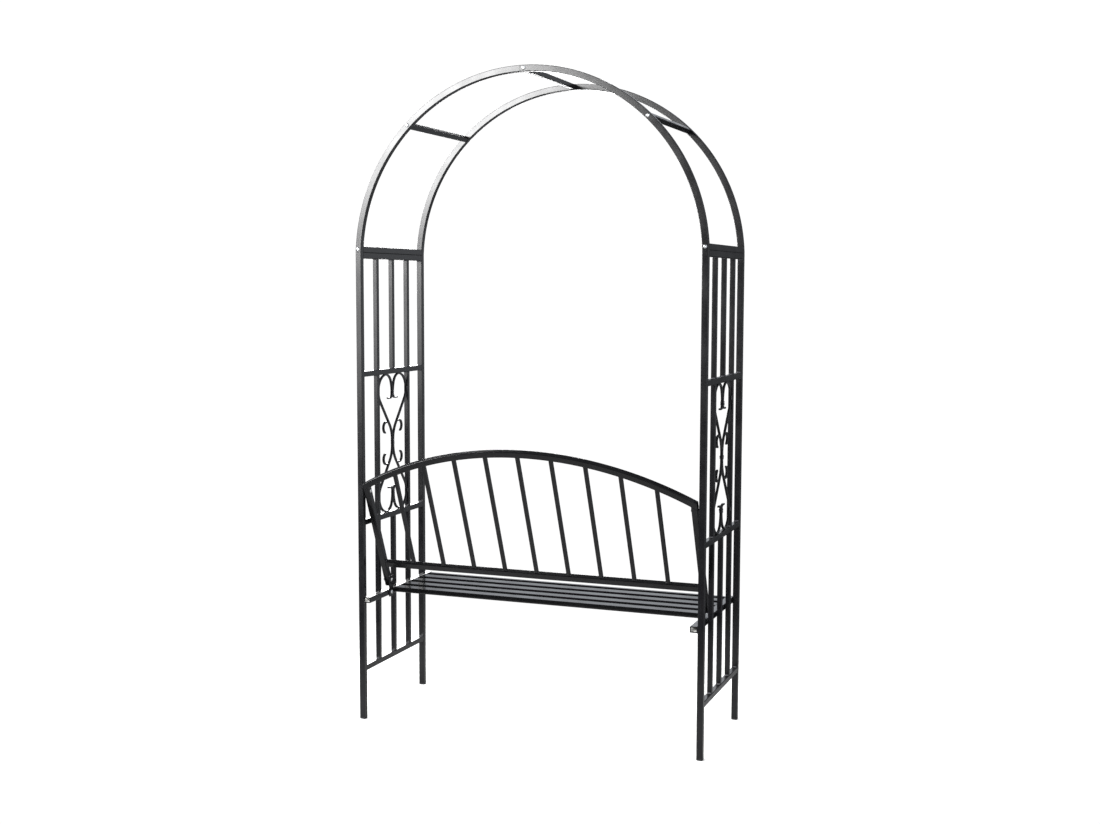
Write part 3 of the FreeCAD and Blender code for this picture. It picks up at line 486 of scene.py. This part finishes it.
def paper_sweep():
    """A round of white paper on the ground, under the seat."""
    mesh = bpy.data.meshes.new("paper_sweep")
    rim = [(FLOOR_REACH * math.cos(math.radians(turn)), FLOOR_REACH * math.sin(math.radians(turn)),
            0) for turn in range(0, 360, 5)]
    mesh.from_pydata(rim, [], [tuple(range(len(rim)))])
    mesh.materials.append(white_paper())
    floor = bpy.data.objects.new("paper_sweep", mesh)
    bpy.context.scene.collection.objects.link(floor)


# ---- forms ----

def rounded_rectangle(width, height, radius, steps=5):
    """A tube's outline, anticlockwise from its right side."""
    points = []
    for corner, (sx, sy) in enumerate(((1, 1), (-1, 1), (-1, -1), (1, -1))):
        for step in range(steps + 1):
            turn = math.radians(90 * (corner + step / steps))
            points.append((sx * (width / 2 - radius) + radius * math.cos(turn),
                           sy * (height / 2 - radius) + radius * math.sin(turn)))
    return points


class Form:
    """Rings of points joined by faces, in millimetres."""

    def __init__(self):
        self.points = []
        self.faces = []

    def skin(self, rings, loop=False):
        """Joins rings of as many points each. Both ends are closed unless the rings loop."""
        first, count = len(self.points), len(rings[0])
        for ring in rings:
            self.points.extend(ring)
        spans = len(rings) if loop else len(rings) - 1
        for span in range(spans):
            low = first + span * count
            high = first + (span + 1) % len(rings) * count
            for at in range(count):
                after = (at + 1) % count
                self.faces.append((low + at, low + after, high + after, high + at))
        if not loop:
            self.faces.append(tuple(reversed(range(first, first + count))))
            last = first + (len(rings) - 1) * count
            self.faces.append(tuple(range(last, last + count)))

    def piece(self, name, material, slot, replaced=()):
        """The form as one object that rides on the frame."""
        mesh = bpy.data.meshes.new(name)
        mesh.from_pydata([[axis * MM for axis in point] for point in self.points], [], self.faces)
        mesh.validate()
        mesh.shade_smooth()
        mesh.set_sharp_from_angle(angle=math.radians(CREASE))
        mesh.materials.append(material)
        made = bpy.data.objects.new(name, mesh)
        bpy.context.scene.collection.objects.link(made)
        even = made.modifiers.new("even", "WEIGHTED_NORMAL")
        even.keep_sharp = True
        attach(made, "root")
        if replaced:
            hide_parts(*replaced)


def tube(form, origin, axes, width, height, corner, near, far, wall=TUBE_WALL):
    """A straight tube with its bore, in its own directions: across, across and along.

    Its ends are numbers along it, or functions that cope them at each point across."""
    wide, tall, ahead = axes
    lip, tightest = 0.3, 0.3

    def ring(inset, radius, end, back=0.0):
        points = []
        for u, v in rounded_rectangle(width - 2 * inset, height - 2 * inset, radius, 4):
            along = end(u, v) if callable(end) else end
            points.append(origin + wide * u + tall * v + ahead * (along + back))
        return points

    bore = max(corner - wall, tightest)
    form.skin([ring(lip, corner - lip, near), ring(0, corner, near, lip),
               ring(0, corner, far, -lip), ring(lip, corner - lip, far),
               ring(wall, bore, far), ring(wall, bore, near)], loop=True)


def box_tube(form, low, high, axis, corner, wall=TUBE_WALL):
    """A tube that fills a box, along the axis of that number."""
    middle, size = (low + high) / 2, high - low
    axes = [Vector([1.0 if at == number % 3 else 0.0 for at in range(3)])
            for number in (axis + 1, axis + 2, axis)]
    tube(form, middle, axes, size[(axis + 1) % 3], size[(axis + 2) % 3], corner,
         -size[axis] / 2, size[axis] / 2, wall)


def solid_box(name):
    """A node's lowest and highest corners, in millimetres."""
    return [Vector(corner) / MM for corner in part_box(name)]


# ---- straight tubes ----

def straight_tubes():
    """Posts, rails, bars, crossbars and seat, with rolled corners where the solids have flats."""
    tubes = [("crossbar_top", 1, RAIL_CORNER), ("seat_front_tube", 0, RAIL_CORNER)]
    tubes += [("seat_slat_" + place, 0, SEAT_SLAT_CORNER)
              for place in ("rear", "second", "third", "front")]
    for side, _ in SIDES:
        tubes += [("post_%s_%s" % (row, side), 2, POST_CORNER) for row, _ in ROWS]
        tubes += [("panel_%s_rail_%s" % (place, side), 1, RAIL_CORNER)
                  for place in ("top", "upper", "middle", "bottom")]
        tubes.append(("crossbar_base_" + side, 1, POST_CORNER))
    for name, axis, corner in tubes:
        form = Form()
        low, high = solid_box(name)
        box_tube(form, low, high, axis, corner)
        form.piece("tube_" + name, COAT, "coated_steel", [name])

    for side, sign in SIDES:
        for place, bars in (("upper", (-1, 0, 1)), ("middle", (-1, 1)), ("lower", (-1, 0, 1))):
            name = "panel_%s_bars_%s" % (place, side)
            low, high = solid_box(name)
            form = Form()
            for bar in bars:
                low.y = bar * BAR_PITCH + DEPTH_SHIFT - BAR_SIZE / 2
                high.y = low.y + BAR_SIZE
                box_tube(form, low, high, 2, BAR_CORNER)
            form.piece("tube_" + name, COAT, "coated_steel", [name])

        name = "crossbar_mid_" + side
        low, high = solid_box(name)
        turn = math.radians(MID_ANGLE)
        outward = Vector((sign * math.cos(turn), 0, math.sin(turn)))
        ahead = Vector((0, 1, 0))
        form = Form()
        tube(form, (low + high) / 2, (outward, ahead.cross(outward), ahead), CROSSBAR_SIZE,
             CROSSBAR_SIZE, RAIL_CORNER, (low.y - high.y) / 2, (high.y - low.y) / 2)
        form.piece("tube_" + name, COAT, "coated_steel", [name])


def seat_rails():
    """The seat's side rails: open ends with the coat wrapped round their rims, and bores lined in
    a painted near-white highlight.
    """
    rim, lining, mouth, lining_corner = 3.0, 0.4, 4.0, 0.5
    for side, _ in SIDES:
        name = "seat_rail_" + side
        low, high = solid_box(name)
        form = Form()
        box_tube(form, low, high, 1, RAIL_CORNER, rim)
        form.piece("tube_" + name, COAT, "coated_steel", [name])
        form = Form()
        inset = Vector((rim - lining / 2, mouth, rim - lining / 2))
        box_tube(form, low + inset, high - inset, 1, lining_corner, lining)
        # The lining is painted nearly white, as painted highlight inside the open ends.
        form.piece("bare_bore_" + side, BORE, "zinc_fixings")


# ---- arches ----

def arch_ring(sign, angle, depth, outline, level=None):
    """A ring across an arch tube, on a radial plane or cut level where it meets its post."""
    ring = []
    for out, along in outline:
        radius = ARCH_RADIUS + out
        turn = math.radians(angle) if level is None else math.asin((level - ARCH_MIDDLE) / radius)
        ring.append(Vector((sign * radius * math.cos(turn), depth + along,
                            ARCH_MIDDLE + radius * math.sin(turn))))
    return ring


def arch_tubes():
    """Four bent tubes. Each pair meets on a radial line, just to the left of the top bolt."""
    eased = 0.5
    outline = rounded_rectangle(POST_SIZE, POST_SIZE, POST_CORNER)
    inset = rounded_rectangle(POST_SIZE - 2 * eased, POST_SIZE - 2 * eased, POST_CORNER - eased)
    ease_angle = math.degrees(eased / ARCH_RADIUS)
    # The first radial ring, in degrees, is clear of the level cut over the posts.
    first, steps = 3.0, 84
    for side, sign in SIDES:
        last = 90 - sign * math.degrees(math.asin(ARCH_JOINT_X / ARCH_RADIUS))
        angles = [first + (last - ease_angle - first) * step / steps for step in range(steps + 1)]
        for row, depth in ROWS:
            y = depth * POST_Y + DEPTH_SHIFT
            form = Form()
            rings = [arch_ring(sign, 0, y, inset, POST_TOP),
                     arch_ring(sign, 0, y, outline, POST_TOP + eased)]
            rings += [arch_ring(sign, angle, y, outline) for angle in angles]
            rings.append(arch_ring(sign, last, y, inset))
            form.skin(rings if sign > 0 else [ring[::-1] for ring in rings])
            form.piece("bent_arch_%s_%s" % (row, side), COAT, "coated_steel",
                       ["arch_tube_%s_%s" % (row, side)])


# ---- back ----

def back_point(x, along, off=0.0):
    """A point in the back's leaning plane, up its slope from the bolts, and off behind it."""
    slant, rise = math.sin(BACK_LEAN), math.cos(BACK_LEAN)
    return Vector((x, POST_Y + DEPTH_SHIFT + along * slant + off * rise,
                   BACK_BOLT_HEIGHT + along * rise - off * slant))


def under_back_rail(x):
    """How far up the slope the underside of the bent top rail is."""
    return math.sqrt((BACK_RADIUS - BACK_TUBE / 2) ** 2 - x * x) + BACK_TOP - BACK_RADIUS


def back_top_rail():
    """The bent tube across the back's top, open at both ends."""
    outline = rounded_rectangle(BACK_TUBE, BACK_TUBE, RAIL_CORNER)
    bore = rounded_rectangle(BACK_TUBE - 2 * TUBE_WALL, BACK_TUBE - 2 * TUBE_WALL,
                             RAIL_CORNER - TUBE_WALL)
    middle = BACK_TOP - BACK_RADIUS
    steps = 96

    def ring(step, shape):
        points = []
        for out, off in shape:
            radius = BACK_RADIUS + out
            turn = math.asin(BACK_OUTSIDE / radius) * (2 * step / steps - 1)
            points.append(back_point(radius * math.sin(turn), middle + radius * math.cos(turn),
                                     off))
        return points

    form = Form()
    outer = [ring(step, outline) for step in range(steps + 1)]
    inner = [ring(step, bore) for step in range(steps + 1)]
    form.skin(outer + inner[::-1], loop=True)
    form.piece("bent_back_rail", COAT, "coated_steel", ["back_top_rail"])


def back_straights():
    """The back's bottom rail, its two uprights and its slats, coped to the bent rail above."""
    across = Vector((1, 0, 0))
    slope = Vector((0, math.sin(BACK_LEAN), math.cos(BACK_LEAN)))
    behind = Vector((0, math.cos(BACK_LEAN), -math.sin(BACK_LEAN)))
    form = Form()
    tube(form, back_point(0, BACK_BOTTOM), (behind, slope, across), BACK_TUBE, BACK_TUBE,
         RAIL_CORNER, -BACK_INSIDE, BACK_INSIDE)
    form.piece("tube_back_bottom_rail", COAT, "coated_steel", ["back_bottom_rail"])

    def level(u, v):
        """The uprights' lower ends are cut level."""
        return (UPRIGHT_FOOT - BACK_BOLT_HEIGHT + v * math.sin(BACK_LEAN)) / math.cos(BACK_LEAN)

    for side, sign in SIDES:
        form = Form()
        x = sign * (BACK_INSIDE + BACK_OUTSIDE) / 2
        tube(form, back_point(x, 0), (across, behind, slope), BACK_TUBE, BACK_TUBE, RAIL_CORNER,
             level, lambda u, v: under_back_rail(x + u))
        form.piece("tube_back_upright_" + side, COAT, "coated_steel", ["back_upright_" + side])
    form = Form()
    for number in range(SLAT_COUNT):
        x = (number - (SLAT_COUNT - 1) / 2) * SLAT_PITCH
        tube(form, back_point(x, 0), (across, behind, slope), SLAT_SIZE, SLAT_SIZE, SLAT_CORNER,
             BACK_BOTTOM + BACK_TUBE / 2, lambda u, v: under_back_rail(x + u))
    form.piece("tube_back_slats", COAT, "coated_steel", ["back_slats"])


# ---- scrollwork ----

def course(start, heading, moves):
    """Points and headings along tangent runs: a bend is (radius, degrees), a straight (0, length).

    They are about 6 mm apart on a straight, and 5 degrees on a bend."""
    straight_step, bend_step = 6, 5
    spots = [(Vector(start), math.radians(heading))]
    for radius, amount in moves:
        point, angle = spots[-1]
        if radius == 0:
            count = max(1, round(amount / straight_step))
            ahead = Vector((math.cos(angle), math.sin(angle)))
            spots += [(point + ahead * amount * step / count, angle)
                      for step in range(1, count + 1)]
            continue
        count = max(2, round(amount / bend_step))
        centre = point + Vector((-math.sin(angle), math.cos(angle))) * radius
        turn = math.copysign(math.radians(amount), radius)
        for step in range(1, count + 1):
            now = angle + turn * step / count
            spots.append((centre + Vector((math.sin(now), -math.cos(now))) * radius, now))
    return spots


def strip_moves():
    """Half a scroll strip, from the middle of its field up to its free tip.

    It keeps to the solid's course, so it is worked out for the solid's thickness."""
    half = STRIP_SOLID / 2
    reach = BAR_PITCH - BAR_SIZE / 2 - half
    top = (RAIL_HEIGHTS[0] - RAIL_HEIGHTS[1] - RAIL_SIZE) / 2 - half
    lobe_middle = Vector((reach - LOBE_RADIUS, top - LOBE_RADIUS))
    side, rise = lobe_middle.x - STRIP_START, lobe_middle.y - WAIST_STRAIGHT
    tightest = (side ** 2 + rise ** 2 - LOBE_RADIUS ** 2) / (2 * (LOBE_RADIUS + side))
    waist = min(WAIST_RADIUS, 0.9 * tightest)
    crown = min(CROWN_RADIUS, 0.95 * side)
    waist_middle = Vector((STRIP_START + waist, WAIST_STRAIGHT))
    between = lobe_middle - waist_middle
    heading = (math.atan2(between.y, between.x)
               - math.asin((waist + LOBE_RADIUS) / between.length))
    normal = Vector((-math.sin(heading), math.cos(heading)))
    foot = waist_middle + normal * waist
    head = lobe_middle - normal * LOBE_RADIUS
    cheek_turn = math.degrees(math.acos((STRIP_START + CHEEK_RADIUS - lobe_middle.x)
                                        / (CHEEK_RADIUS - crown)))
    slope = math.degrees(heading)
    moves = [(0, WAIST_STRAIGHT), (-waist, 90 - slope), (0, (head - foot).length),
             (LOBE_RADIUS, 180 - slope), (crown, 90 - cheek_turn), (CHEEK_RADIUS, cheek_turn),
             (0, TIP_LEAD), (TIP_RADIUS, 90), (0, TIP_REACH)]
    return moves, foot, heading


def strip_ring(spot, heading, x, across, up, shrink=1.0):
    """A ring across a strip in a panel's scroll field."""
    normal = Vector((-math.sin(heading), math.cos(heading)))
    ring = []
    for u, v in rounded_rectangle(STRIP_THICKNESS * shrink, STRIP_WIDTH * shrink,
                                  STRIP_CORNER * shrink, 3):
        flat = spot + normal * u
        ring.append(Vector((x + v, DEPTH_SHIFT + across * flat.x, SCROLL_MIDDLE + up * flat.y)))
    return ring


def scrollwork():
    """Per panel two tall strips with eased tips, and four small curls that taper away."""
    tip, taper, sunk = 0.7, 0.12, 1.0
    moves, foot, heading = strip_moves()
    upper = course((STRIP_START, 0), 90, moves)
    lower = [(Vector((spot.x, -spot.y)), math.pi - angle) for spot, angle in upper[:0:-1]]
    whole = lower + upper
    half = STRIP_SOLID / 2
    start = foot + Vector((CURL_RISE / math.tan(heading) - sunk, CURL_RISE))
    curl = course(start, 0, [(0, CURL_LEAD + sunk + half / math.sin(heading)),
                             (-CURL_RADIUS, CURL_TURN)])
    for side, sign in SIDES:
        x = sign * POST_X
        for row, across in ROWS:
            form = Form()
            rings = [strip_ring(whole[0][0], whole[0][1], x, across, 1, tip)]
            rings += [strip_ring(spot, angle, x, across, 1) for spot, angle in whole]
            rings.append(strip_ring(whole[-1][0], whole[-1][1], x, across, 1, tip))
            form.skin(rings)
            form.piece("bent_scroll_%s_%s" % (row, side), COAT, "coated_steel",
                       ["scroll_strip_%s_%s" % (row, side)])
        curls = Form()
        for _, across in ROWS:
            for up in (1, -1):
                rings = []
                for number, (spot, angle) in enumerate(curl):
                    tapered = max(0, number - len(curl) + 4)
                    rings.append(strip_ring(spot, angle, x, across, up, 1.0 - taper * tapered))
                curls.skin(rings)
        curls.piece("small_curls_%s" % side, COAT, "coated_steel", ["scroll_curls_%s" % side])


# ---- turned and threaded pieces ----

def turned(form, spot, axis, profile):
    """A form turned about an axis.

    The profile holds (height, radius, corners), where 6 corners make a hexagon."""
    sides = 24
    facing = Vector(axis).to_track_quat("Z", "Y").to_matrix()
    rings = []
    for height, radius, corners in profile:
        ring = []
        for number in range(sides):
            turn = 2 * math.pi * number / sides
            reach = radius
            if corners:
                part = 2 * math.pi / corners
                reach = radius * math.cos(part / 2) / math.cos(turn % part - part / 2)
            ring.append(spot + facing @ Vector((reach * math.cos(turn), reach * math.sin(turn),
                                                height)))
        rings.append(ring)
    form.skin(rings)


def button_head_bolt(form, spot, axis, length, threads=0):
    """A button-head bolt with a hexagon socket, seated with its head's underside at the spot."""
    point, pitch = 0.6, 1.0
    profile = [(-length, 2.4, 0), (-length + point, BOLT_RADIUS, 0)]
    for turn in range(threads):
        rise = -length + point + turn * pitch
        profile += [(rise + 0.35, 2.95, 0), (rise + 0.6, 2.55, 0), (rise + 0.95, 2.95, 0)]
    profile += [(0.0, BOLT_RADIUS, 0), (0.0, HEAD_RADIUS - 0.25, 0), (0.25, HEAD_RADIUS, 0),
                (0.75, 5.92, 0), (1.35, 5.55, 0), (1.95, 4.9, 0), (2.45, 4.1, 0),
                (2.8, 3.3, 0), (2.97, 2.75, 0), (HEAD_HEIGHT, 2.5, 0), (2.9, 2.35, 6),
                (2.75, 2.25, 6), (1.0, 2.2, 6), (0.9, 1.0, 6)]
    turned(form, spot, axis, profile)


def fixings():
    """Bolts with their sockets, the spacers behind the back's bolts, and the plates' nuts."""
    face = POST_Y + POST_SIZE / 2
    form = Form()
    for _, depth in ROWS:
        for angle in (BASE_ANGLE, MID_ANGLE, 90, 180 - MID_ANGLE, 180 - BASE_ANGLE):
            turn = math.radians(angle)
            spot = Vector((ARCH_RADIUS * math.cos(turn), depth * face + DEPTH_SHIFT,
                           ARCH_MIDDLE + ARCH_RADIUS * math.sin(turn)))
            button_head_bolt(form, spot, (0, depth, 0), ARCH_BOLT_LENGTH)
    form.piece("button_bolts_arch", ZINC, "zinc_fixings", ["arch_bolts"])

    back, rings, lower, nuts = Form(), Form(), Form(), Form()
    corner = NUT_WIDTH / math.sqrt(3)
    # A turned ring with eased rims.
    spacer = [(0.02, 5.6, 0), (0.4, 6.0, 0), (SPACER_LENGTH - 0.4, 6.0, 0),
              (SPACER_LENGTH - 0.02, 5.6, 0)]
    # A hexagon between two chamfers, with the thread's mouth in its outer face.
    nut = [(0, 5.0, 0), (0.0, 5.25, 0), (0.45, corner, 6), (NUT_THICKNESS - 0.45, corner, 6),
           (NUT_THICKNESS, 5.0, 0), (NUT_THICKNESS, 3.5, 0), (NUT_THICKNESS - 0.4, 3.05, 0)]
    for _, sign in SIDES:
        y = POST_Y + DEPTH_SHIFT
        button_head_bolt(back, Vector((sign * BACK_INSIDE, y, BACK_BOLT_HEIGHT)),
                         (-sign, 0, 0), BACK_BOLT_LENGTH)
        turned(rings, Vector((sign * BACK_OUTSIDE, y, BACK_BOLT_HEIGHT)), (sign, 0, 0), spacer)
        # Of a plate's bolts the upper one holds the back's upright, the lower one the seat's rail.
        y = PLATE_Y + DEPTH_SHIFT
        for height, outside in zip(PLATE_BOLT_HEIGHTS, (BACK_OUTSIDE, RAIL_OUTSIDE)):
            length = outside - PLATE_INSIDE + NUT_THICKNESS + BOLT_TAIL
            button_head_bolt(lower, Vector((sign * PLATE_INSIDE, y, height)), (-sign, 0, 0),
                             length, threads=6)
            turned(nuts, Vector((sign * outside, y, height)), (sign, 0, 0), nut)
    back.piece("button_bolts_back", ZINC, "zinc_fixings", ["back_bolts"])
    rings.piece("spacer_rings", COAT, "coated_steel", ["back_spacers"])
    lower.piece("button_bolts_plates", ZINC, "zinc_fixings", ["plate_bolts"])
    nuts.piece("hexagon_nuts", ZINC, "zinc_fixings", ["plate_nuts"])


def foot_caps():
    """Plugs whose flanges the posts stand on."""
    # Each row is a height, a width and a corner's radius.
    outline = ((0.0, 15.6, 2.2), (0.35, 17.4, 2.4), (1.2, 18.6, 2.4), (2.2, 19.0, 2.2),
               (4.6, 19.0, 2.0), (FOOT_FLANGE, 18.4, 1.8), (FOOT_FLANGE, 16.0, 1.0),
               (19.0, 15.6, 1.0), (20.0, 14.4, 1.0))
    for side, sign in SIDES:
        for row, depth in ROWS:
            middle = Vector((sign * POST_X, depth * POST_Y + DEPTH_SHIFT, 0))
            form = Form()
            form.skin([[middle + Vector((u, v, height))
                        for u, v in rounded_rectangle(width, width, corner)]
                       for height, width, corner in outline])
            form.piece("foot_plug_%s_%s" % (row, side), PLASTIC, "foot_caps",
                       ["foot_cap_%s_%s" % (row, side)])


# ---- welds ----

def weld(form, start, end, radius, chance):
    """A bead between two points: scallops 1.8 mm long, which bulge and wander a little."""
    scallop_length, bulge, wander, sides = 1.8, 0.14, 0.12, 10
    cap, cap_width = 0.3, 0.35
    start, end = Vector(start), Vector(end)
    line = end - start
    ahead = line.normalized()
    first = ahead.orthogonal().normalized()
    second = ahead.cross(first)
    scallops = max(2, round(line.length / scallop_length))
    rings = [(start - ahead * cap, cap_width * radius)]
    for scallop in range(scallops):
        swell = radius * chance.uniform(1 - bulge, 1 + bulge)
        drift = (first * chance.uniform(-wander, wander) * radius
                 + second * chance.uniform(-wander, wander) * radius)
        for share, width in ((0.04, 0.8), (0.35, 1.0), (0.75, 0.97)):
            along = (scallop + share) / scallops
            # The scallop at each end is thinner.
            taper = min(1.0, 0.55 + 0.9 * min(along, 1 - along) * scallops)
            rings.append((start + line * along + drift, swell * width * taper))
    rings.append((end + ahead * cap, cap_width * radius))
    turns = [2 * math.pi * side / sides for side in range(sides)]
    form.skin([[middle + (first * math.cos(turn) + second * math.sin(turn)) * wide
                for turn in turns] for middle, wide in rings])


def bead_across(form, x, y, z, reach, radius, chance):
    """A bead across a panel's thickness, as far each way as its reach."""
    weld(form, (x - reach, y, z), (x + reach, y, z), radius, chance)


def rail_and_bar_welds(form, x, chance):
    """A bead on each side of every joint of rail and post, and of bar and rail."""
    post_face = POST_Y - POST_SIZE / 2
    off_post, off_rail = 0.4, 0.2
    rail_short, bar_short = 2.5, 1.5
    for rail_z, size in [(TOP_RAIL_HEIGHT, POST_SIZE)] + [(z, RAIL_SIZE) for z in RAIL_HEIGHTS]:
        for depth in (-1, 1):
            y = depth * post_face + DEPTH_SHIFT - depth * off_post
            for up in (-1, 1):
                # The base crossbar lies on the top rail, so that has no bead on top.
                if up > 0 and rail_z == TOP_RAIL_HEIGHT:
                    continue
                bead_across(form, x, y, rail_z + up * size / 2 + up * off_rail,
                            size / 2 - rail_short,
                            TOP_RAIL_BEAD if rail_z == TOP_RAIL_HEIGHT else RAIL_BEAD, chance)
    # The top rail is thicker, and counts by its underside.
    rails = [TOP_RAIL_HEIGHT - POST_SIZE / 2 + RAIL_SIZE / 2] + list(RAIL_HEIGHTS)
    for above, below, bars in zip(rails, rails[1:], ((-1, 0, 1), (-1, 1), (-1, 0, 1))):
        for bar in bars:
            for z in (above - RAIL_SIZE / 2, below + RAIL_SIZE / 2):
                for edge in (-1, 1):
                    bead_across(form, x, bar * BAR_PITCH + edge * BAR_SIZE / 2 + DEPTH_SHIFT, z,
                                BAR_SIZE / 2 - bar_short, BAR_BEAD, chance)


def pair_meeting():
    """How far above the waist a panel's two strips run side by side again."""
    moves = strip_moves()[0]
    below_cheek = 2.0
    return course((STRIP_START, 0), 90, moves[:6])[-1][0].y - below_cheek


def scroll_welds(form, x, chance):
    """Nuggets between a panel's two strips, and beads where their lobes touch bar and rail."""
    waist_nugget, tip_nugget, lobe_half = 13.0, 15.0, 6.0
    bar_face = BAR_PITCH - BAR_SIZE / 2
    rail_face = (RAIL_HEIGHTS[0] - RAIL_HEIGHTS[1] - RAIL_SIZE) / 2
    lobe = LOBE_RADIUS + STRIP_SOLID / 2
    meeting = pair_meeting()
    for face in (-1, 1):
        # Where the two strips run side by side: at the waist and where their tips part.
        for middle, length in ((0, waist_nugget), (meeting, tip_nugget), (-meeting, tip_nugget)):
            z = SCROLL_MIDDLE + middle
            outer = x + face * STRIP_WIDTH / 2
            weld(form, (outer, DEPTH_SHIFT, z - length / 2), (outer, DEPTH_SHIFT, z + length / 2),
                 STRIP_NUGGET, chance)
    for up in (-1, 1):
        z = SCROLL_MIDDLE + up * (rail_face - lobe)
        rail = SCROLL_MIDDLE + up * rail_face
        for row in (-1, 1):
            bar = DEPTH_SHIFT + row * bar_face
            y = DEPTH_SHIFT + row * (bar_face - lobe)
            for face in (-1, 1):
                outer = x + face * STRIP_WIDTH / 2
                weld(form, (outer, bar, z - lobe_half), (outer, bar, z + lobe_half), LOBE_BEAD,
                     chance)
                weld(form, (outer, y - lobe_half, rail), (outer, y + lobe_half, rail), LOBE_BEAD,
                     chance)


def panel_welds():
    """The welds of each side panel, as one piece."""
    for side, sign in SIDES:
        chance = random.Random(WELD_SEEDS[side])
        form = Form()
        rail_and_bar_welds(form, sign * POST_X, chance)
        scroll_welds(form, sign * POST_X, chance)
        form.piece("weld_beads_panel_%s" % side, WELD_COAT, "coated_steel")


def back_and_seat_welds():
    """Beads between the back's tubes, under the seat, and where its side rails pass the posts."""
    chance = random.Random(WELD_SEEDS["back"])
    form = Form()
    slat_short, tube_short, seat_short, front_short, post_half = 1.5, 2.5, 4.0, 3.0, 7.0
    above_rail = BACK_BOTTOM + BACK_TUBE / 2
    half = SLAT_SIZE / 2
    reach = half - slat_short
    for number in range(SLAT_COUNT):
        for edge in (-1, 1):
            x = (number - (SLAT_COUNT - 1) / 2) * SLAT_PITCH + edge * half
            for along in (above_rail, under_back_rail(x)):
                weld(form, back_point(x, along, -reach), back_point(x, along, reach), SLAT_BEAD,
                     chance)
    for _, sign in SIDES:
        x = sign * BACK_INSIDE
        reach = BACK_TUBE / 2 - tube_short
        for along in (above_rail, above_rail - BACK_TUBE, under_back_rail(x)):
            weld(form, back_point(x, along, -reach), back_point(x, along, reach), BACK_BEAD,
                 chance)
        spans = [(y, SEAT_SLAT_WIDTH / 2 - seat_short) for y in SEAT_SLAT_YS]
        for y, reach in spans + [(FRONT_TUBE_Y, FRONT_TUBE_SIZE / 2 - front_short)]:
            y += DEPTH_SHIFT
            weld(form, (x, y - reach, SEAT_SLAT_BOTTOM), (x, y + reach, SEAT_SLAT_BOTTOM),
                 SEAT_BEAD, chance)
        for edge in (-1, 1):
            y = FRONT_TUBE_Y + DEPTH_SHIFT + edge * FRONT_TUBE_SIZE / 2
            weld(form, (x, y, SEAT_SLAT_BOTTOM + front_short), (x, y, SEAT_TOP - front_short),
                 SEAT_END_BEAD, chance)
        x = sign * (POST_X - POST_SIZE / 2)
        for _, depth in ROWS:
            y = depth * POST_Y + DEPTH_SHIFT
            for z in (SEAT_TOP, SEAT_RAIL_BOTTOM):
                weld(form, (x, y - post_half, z), (x, y + post_half, z), BACK_BEAD, chance)
    form.piece("weld_beads_back_and_seat", WELD_COAT, "coated_steel")


# ---- frame pieces that stay as the solids have them ----

def finish_solids():
    """Gives every solid its finish, and eases the edges of the joining plates, which show."""
    finish = {"post_spigots": STEEL, "arch_sleeves": STEEL}
    for name, solid in frame["nodes"].items():
        solid.data.materials.clear()
        solid.data.materials.append(finish.get(name, COAT))
        if name in finish or solid.hide_render:
            continue
        merge = solid.modifiers.new("merge", "WELD")
        merge.merge_threshold = 0.01 * MM
        ease = solid.modifiers.new("ease", "BEVEL")
        ease.width = PLATE_EASE * MM
        ease.segments = 2
        ease.limit_method = "ANGLE"
        ease.angle_limit = math.radians(CREASE)
        even = solid.modifiers.new("even", "WEIGHTED_NORMAL")
        even.keep_sharp = True


look()
white_room()
bpy.context.scene.view_settings.view_transform = "Standard"
# Soft lights: where one stands and what it faces, its width and height in metres, and its watts.
window = softbox("window_box", (3.15, 5.2, 3.15), (0.4, 0.2, 1.7), 2.2, 2.4, 460)
curtain = softbox("curtain_box", (2.85, 5.3, 2.3), (0.4, 0.2, 1.7), 2.8, 3.4, 130)
side_light = softbox("side_box", (4.9, 0.3, 3.9), (0.4, 0.0, 1.8), 2.6, 2.6, 300)
front_light = softbox("front_box", (2.7, -5.2, 2.6), (0.0, 0.0, 1.2), 2.5, 2.5, 260)
paper_sweep()

straight_tubes()
seat_rails()
arch_tubes()
back_top_rail()
back_straights()
scrollwork()
fixings()
foot_caps()
panel_welds()
back_and_seat_welds()
finish_solids()

# Broad lights would leave streaks along the rounded corners of these.
keep_off((window, curtain), ("seat", "back", "scroll", "curls"))
keep_off((side_light, front_light), ("seat_slat", "seat_front"))
